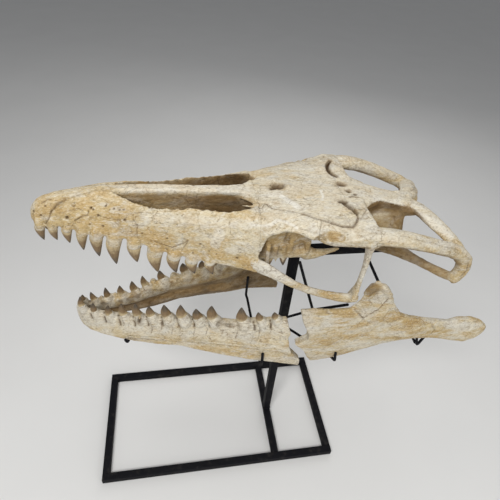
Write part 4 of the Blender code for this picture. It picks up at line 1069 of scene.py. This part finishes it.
# the low stumps between the teeth of the right jaw
STUMPS = [
    (8.4, 2.2, 55.4, 8.2, 2.2, 56.9, 0.7), (11.5, 3, 55.1, 11.2, 3, 56.7, 0.8),
    (20.4, 5.3, 56.4, 19.9, 5.3, 58.3, 1.1), (25.2, 6.7, 57.2, 24.8, 6.7, 58.6, 1),
    (30.2, 7.9, 57.6, 29.8, 7.9, 58.9, 1)]
FEET = [("premaxilla", UPPER[:2], (1, -1), UPPER_FOOT), ("maxilla_left", UPPER[2:], (1,), UPPER_FOOT),
        ("maxilla_right", UPPER[2:], (-1,), UPPER_FOOT), ("dentary_left", LOWER_LEFT, (1,), LOWER_FOOT),
        ("dentary_right", LOWER_RIGHT, (-1,), LOWER_FOOT),
        ("dentary_right", STUMPS, (-1,), LOWER_FOOT + [(0.8, 0.5)])]
BARE = {name: bare(name) for names, _, _, _ in GROUPS for name in names}
for name, rows, sides, profile in FEET:
    BARE[name] = joined(BARE[name], *[foot(row, side, profile) for row in rows for side in sides])
for bone, spikes in SPIKES.items():
    for side in (1, -1):
        name = bone if bone in BARE else bone + ("_left" if side > 0 else "_right")
        if name in BARE:
            BARE[name] = joined(BARE[name], *[
                spike(at(a[0], a[1] * side, a[2]), at(b[0], b[1] * side, b[2]), thick, thin)
                for a, b, thick, thin in spikes])
for group in GROUPS:
    build_bones(*group)


# ---- teeth
TOOTH_RINGS = 26
TOOTH_SIDES = 24
ROOT = 0.5                  # depth of a crown's hidden root, in centimetres
# girth of a crown against its rise, in parts of the radius at the gum line
UPPER_GIRTH = [
    (-1, 0.5), (-0.1, 0.62), (0.05, 0.82), (0.2, 0.93), (0.32, 0.89), (0.45, 0.79), (0.6, 0.65),
    (0.72, 0.51), (0.83, 0.36), (0.91, 0.23), (0.965, 0.13), (1, 0.04)]
LOWER_GIRTH = [
    (-1, 0.5), (0, 0.7), (0.14, 0.83), (0.27, 0.85), (0.4, 0.8), (0.54, 0.69), (0.68, 0.54), (0.8, 0.38),
    (0.9, 0.23), (0.96, 0.12), (1, 0.03)]
# how far the crowns' colours are shifted towards the tip's brown
UPPER_STAIN = -0.04
LOWER_STAIN = 0.02


def tooth_arrays(row, side, seed, girths, stain):
    """One recurved tooth as rings of points, its faces and the rise of each point along the crown."""
    base, axis, height, back = tooth_line(row, side)
    radius = row[6]
    rng = np.random.default_rng(seed)
    across = np.cross(axis, back)
    phase = rng.uniform(0, 6.28, 6)
    curve = rng.uniform(0.22, 0.34) * radius
    shade = rng.uniform(-0.1, 0.1)
    verts, rise = [], []
    for i in range(TOOTH_RINGS):
        s = i / (TOOTH_RINGS - 1)
        t = -ROOT / height + (1 + ROOT / height) * (1 - (1 - s) ** 1.25)
        up = max(t, 0.0)
        girth = table(girths, t)
        lean = -curve * math.sin(math.pi * up ** 0.85)
        centre = base + axis * (t * height) + back * lean
        centre += across * (0.05 * radius * math.sin(3.1 * t + phase[5]))
        for a in turns(TOOTH_SIDES):
            c, b = math.cos(a), math.sin(a)
            facets = 0.02 * math.sin(8 * a + phase[0]) + 0.014 * math.sin(11 * a + phase[1] + 2 * t)
            facets += 0.035 * math.sin(2 * a + phase[2] + 3 * t) + 0.03 * math.sin(3 * a + phase[3] - 5 * t)
            keel = 1 + 0.07 * abs(c) ** 8
            size = radius * girth * (1 + facets * (1 - 0.6 * up))
            verts.append((centre + back * (c * keel * size) + across * (b * 0.86 * size)) * CM)
            rise.append(stain + t + shade)
    # a point closes each end
    last = len(verts)
    verts += [(base - axis * ROOT) * CM, (base + axis * height) * CM]
    rise += [0.0, 1.0]
    n = TOOTH_SIDES
    top = last - n
    faces = round_faces(TOOTH_RINGS, n)[:-2]
    faces += [(last, (k + 1) % n, k) for k in range(n)]
    faces += [(last + 1, top + k, top + (k + 1) % n) for k in range(n)]
    return verts, faces, rise


def teeth(name, rows, sides, seed, girths=UPPER_GIRTH, stain=UPPER_STAIN):
    """A row of teeth as one piece, on the left side (1), the right (-1) or both."""
    verts, faces, rise = [], [], []
    for side in sides:
        for i, row in enumerate(rows):
            v, f, r = tooth_arrays(row, side, seed * 100 + i + (50 if side < 0 else 0), girths, stain)
            faces += [tuple(j + len(verts) for j in face) for face in f]
            verts += v
            rise += r
    mesh = outward(mesh_from(verts, faces))
    layer = mesh.attributes.new("rise", "FLOAT", "POINT")
    layer.data.foreach_set("value", np.array(rise, np.float32))
    mesh.shade_smooth()
    piece(name, mesh, TOOTH, [])


teeth("teeth_premaxilla", UPPER[:2], (1, -1), 1)
teeth("teeth_maxilla_left", UPPER[2:], (1,), 2)
teeth("teeth_maxilla_right", UPPER[2:], (-1,), 3)
teeth("teeth_palate_left", PALATE_TEETH, (1,), 4)
teeth("teeth_palate_right", PALATE_TEETH, (-1,), 5)
teeth("teeth_dentary_left", LOWER_LEFT, (1,), 6, LOWER_GIRTH, LOWER_STAIN)
teeth("teeth_dentary_right", LOWER_RIGHT, (-1,), 7, LOWER_GIRTH, LOWER_STAIN)

# ---- stand
TUBE_EDGE = 0.0016          # how far the square tubes' edges are rounded
ROD = 0.0033                # radius of the thin rods
ROD_SIDES = 14
BEND = 0.01                 # how far before a corner a rod starts to bend
BEND_STEPS = 5
BEAD = 0.0024               # radius of a weld bead
BEAD_STEP = 0.0011          # spacing of its ripples' points
BEAD_SIDES = 10
# the rods' paths, in stations
RODS = {
    "jaw_arm": [(52, 0.4, 47.2), (44, 0.4, 46.7), (40, 4, 50.5), (35, 7.2, 56.2)],
    "cross_rod": [(43.8, -8.6, 53.6), (43.8, -9, 46.2), (44, -8, 46), (44, 9.6, 46), (44, 12.4, 46),
        (44, 13.5, 46.2), (44.1, 13.5, 48.2), (44.1, 13.1, 50.6)],
    "front_hook": [(44, 9.6, 46), (14, 3.2, 48.2), (13.8, 5.2, 48.5), (13.6, 5.9, 49.3), (13.3, 5.8, 50.2)],
    "side_arm": [(53, 0.4, 47), (57.5, 4.8, 54.5), (62.5, 10.9, 62.8)],
    "palate_rod": [(57.5, 4.8, 54.5), (51.8, 4.6, 70.6)],
    "coronoid_rod": [(68.9, 0.9, 68.4), (70.2, 11, 65.2)],
    "rear_hook": [(53, 0.4, 43.4), (61.6, 11.4, 45), (62.3, 13.2, 45.2), (62.1, 13.6, 46),
        (61.7, 13.6, 49)],
    "neck_rod": [(61, 10.4, 44.9), (82, 10.2, 49.8), (83, 12.4, 48)],
    "neck_clip": [(82.1, 12.7, 51.2), (83, 13, 48), (84.2, 12.7, 51.2)]}


def bent(points):
    """A path with its corners rounded."""
    points = [Vector(p) for p in points]
    path = [points[0]]
    for a, b, c in zip(points, points[1:], points[2:]):
        reach = min(BEND, (b - a).length * 0.45, (c - b).length * 0.45)
        start, end = b + (a - b).normalized() * reach, b + (c - b).normalized() * reach
        for i in range(BEND_STEPS + 1):
            t = i / BEND_STEPS
            path.append(start * (1 - t) ** 2 + b * (2 * t * (1 - t)) + end * t * t)
    return path + [points[-1]]


def swept(path, radii, sides):
    """A closed round solid swept along a path, with one radius for each point of it."""
    across = None
    verts = []
    for i, centre in enumerate(path):
        along = (path[min(i + 1, len(path) - 1)] - path[max(i - 1, 0)]).normalized()
        if across is None:
            across = along.orthogonal().normalized()
        across = (across - along * across.dot(along)).normalized()
        up = along.cross(across)
        verts += [centre + across * (radii[i] * math.cos(a)) + up * (radii[i] * math.sin(a))
                  for a in turns(sides)]
    return outward(mesh_from(verts, round_faces(len(path), sides)))


def rod(points):
    """A round rod with softly rounded ends."""
    path = bent(points)
    first, last = path[0], path[-1]
    start, end = (path[1] - first).normalized(), (path[-2] - last).normalized()
    # distance in from the end and girth there, both in radii
    steps = [(0.0, 0.35), (0.12, 0.72), (0.4, 0.94), (0.9, 1.0)]
    head = [first + start * ROD * s for s, _ in steps]
    tail = [last + end * ROD * s for s, _ in reversed(steps)]
    girths = [g for _, g in steps] + [1.0] * (len(path) - 2) + [g for _, g in reversed(steps)]
    return swept(head + path[1:-1] + tail, [ROD * g for g in girths], ROD_SIDES)


def tube(low, high):
    """A square tube with softened edges, between two corners."""
    bm = bmesh.new()
    bmesh.ops.create_cube(bm, size=1)
    size = Vector(high) - Vector(low)
    middle = (Vector(high) + Vector(low)) / 2
    place = Matrix.Translation(middle) @ Matrix.Diagonal((*size, 1))
    bmesh.ops.transform(bm, matrix=place, verts=bm.verts[:])
    bmesh.ops.bevel(bm, geom=bm.edges[:], offset=TUBE_EDGE, segments=3, affect="EDGES", profile=0.6)
    return closed(bm)


def weld_bead(a, b, seed):
    """A rippled bead of weld between two points."""
    a, b = Vector(a), Vector(b)
    count = max(10, int((b - a).length / BEAD_STEP))
    rng = np.random.default_rng(seed)
    path = [a.lerp(b, i / count) for i in range(count + 1)]
    radii = [BEAD * (0.84 + 0.2 * abs(math.sin(i * 1.35)) + 0.07 * rng.uniform(-1, 1))
             for i in range(count + 1)]
    radii[0] *= 0.5
    radii[-1] *= 0.5
    return swept(path, radii, BEAD_SIDES)


def steel(part, mesh, replaced, sharp):
    """A piece of the stand, its edges sharp where faces meet at more than so many degrees."""
    mesh.shade_smooth()
    mesh.set_sharp_from_angle(angle=math.radians(sharp))
    piece("steel_" + part, mesh, STEEL, replaced)


for part in ("front_tube", "rear_tube", "end_tube", "far_end_tube", "cross_tube", "post", "beam"):
    steel(part, tube(*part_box("stand_" + part)), ["stand_" + part], 45)
# welds round the foot of the post
(left, near, _), (right, far, _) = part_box("stand_post")
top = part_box("stand_cross_tube")[1][2]
corners = [((left, near), (left, far)), ((right, near), (right, far)), ((left, near), (right, near)),
           ((left, far), (right, far))]
for i, (a, b) in enumerate(corners):
    steel("weld_%d" % (i + 1), weld_bead((*a, top), (*b, top), 300 + i), [], 180)
for part, rows in RODS.items():
    steel(part, rod([at(*p) for p in rows]), ["stand_" + part], 60)

# ---- floor, light and camera
FLOOR_SIZE = 24
bpy.ops.mesh.primitive_plane_add(size=FLOOR_SIZE, location=(0, 0, 0))
floor = bpy.context.object
floor.name = "studio_floor"
floor.data.materials.append(floor_material())


def area(name, location, target, size, watts):
    """A rectangular light turned to a target."""
    light = bpy.data.lights.new(name, "AREA")
    light.shape = "RECTANGLE"
    light.size, light.size_y = size
    light.energy = watts
    item = bpy.data.objects.new(name, light)
    item.location = location
    item.rotation_euler = (Vector(target) - Vector(location)).to_track_quat("-Z", "Y").to_euler()
    bpy.context.scene.collection.objects.link(item)


# name, place, target, width and height in metres, watts
area("key", (-0.9, -1.5, 2.4), (0, 0, 0.6), (0.9, 0.8), 43)
area("fill", (1.1, -1.9, 0.85), (0, 0, 0.6), (1.5, 1.5), 11)
area("rear", (0.9, 2.0, 1.9), (0, 0, 0.7), (1.6, 1.4), 9)
area("top", (0.1, 0.3, 2.8), (0, 0, 0.6), (2.2, 1.6), 19)
world = bpy.data.worlds.new("studio")
world.use_nodes = True
sky = world.node_tree.nodes["Background"].inputs
sky["Color"].default_value = (0.86, 0.88, 0.92, 1)
sky["Strength"].default_value = 0.24
bpy.context.scene.world = world
bpy.context.scene.view_settings.view_transform = "Standard"

lens = bpy.data.cameras.new("camera")
lens.lens = 30.54505
lens.sensor_width = 36
camera = bpy.data.objects.new("camera", lens)
camera.location = (-0.2364, -0.68401, 1.31244)
camera.rotation_euler = Euler((0.85391, -0.07287, -0.15419))
bpy.context.scene.collection.objects.link(camera)
bpy.context.scene.camera = camera
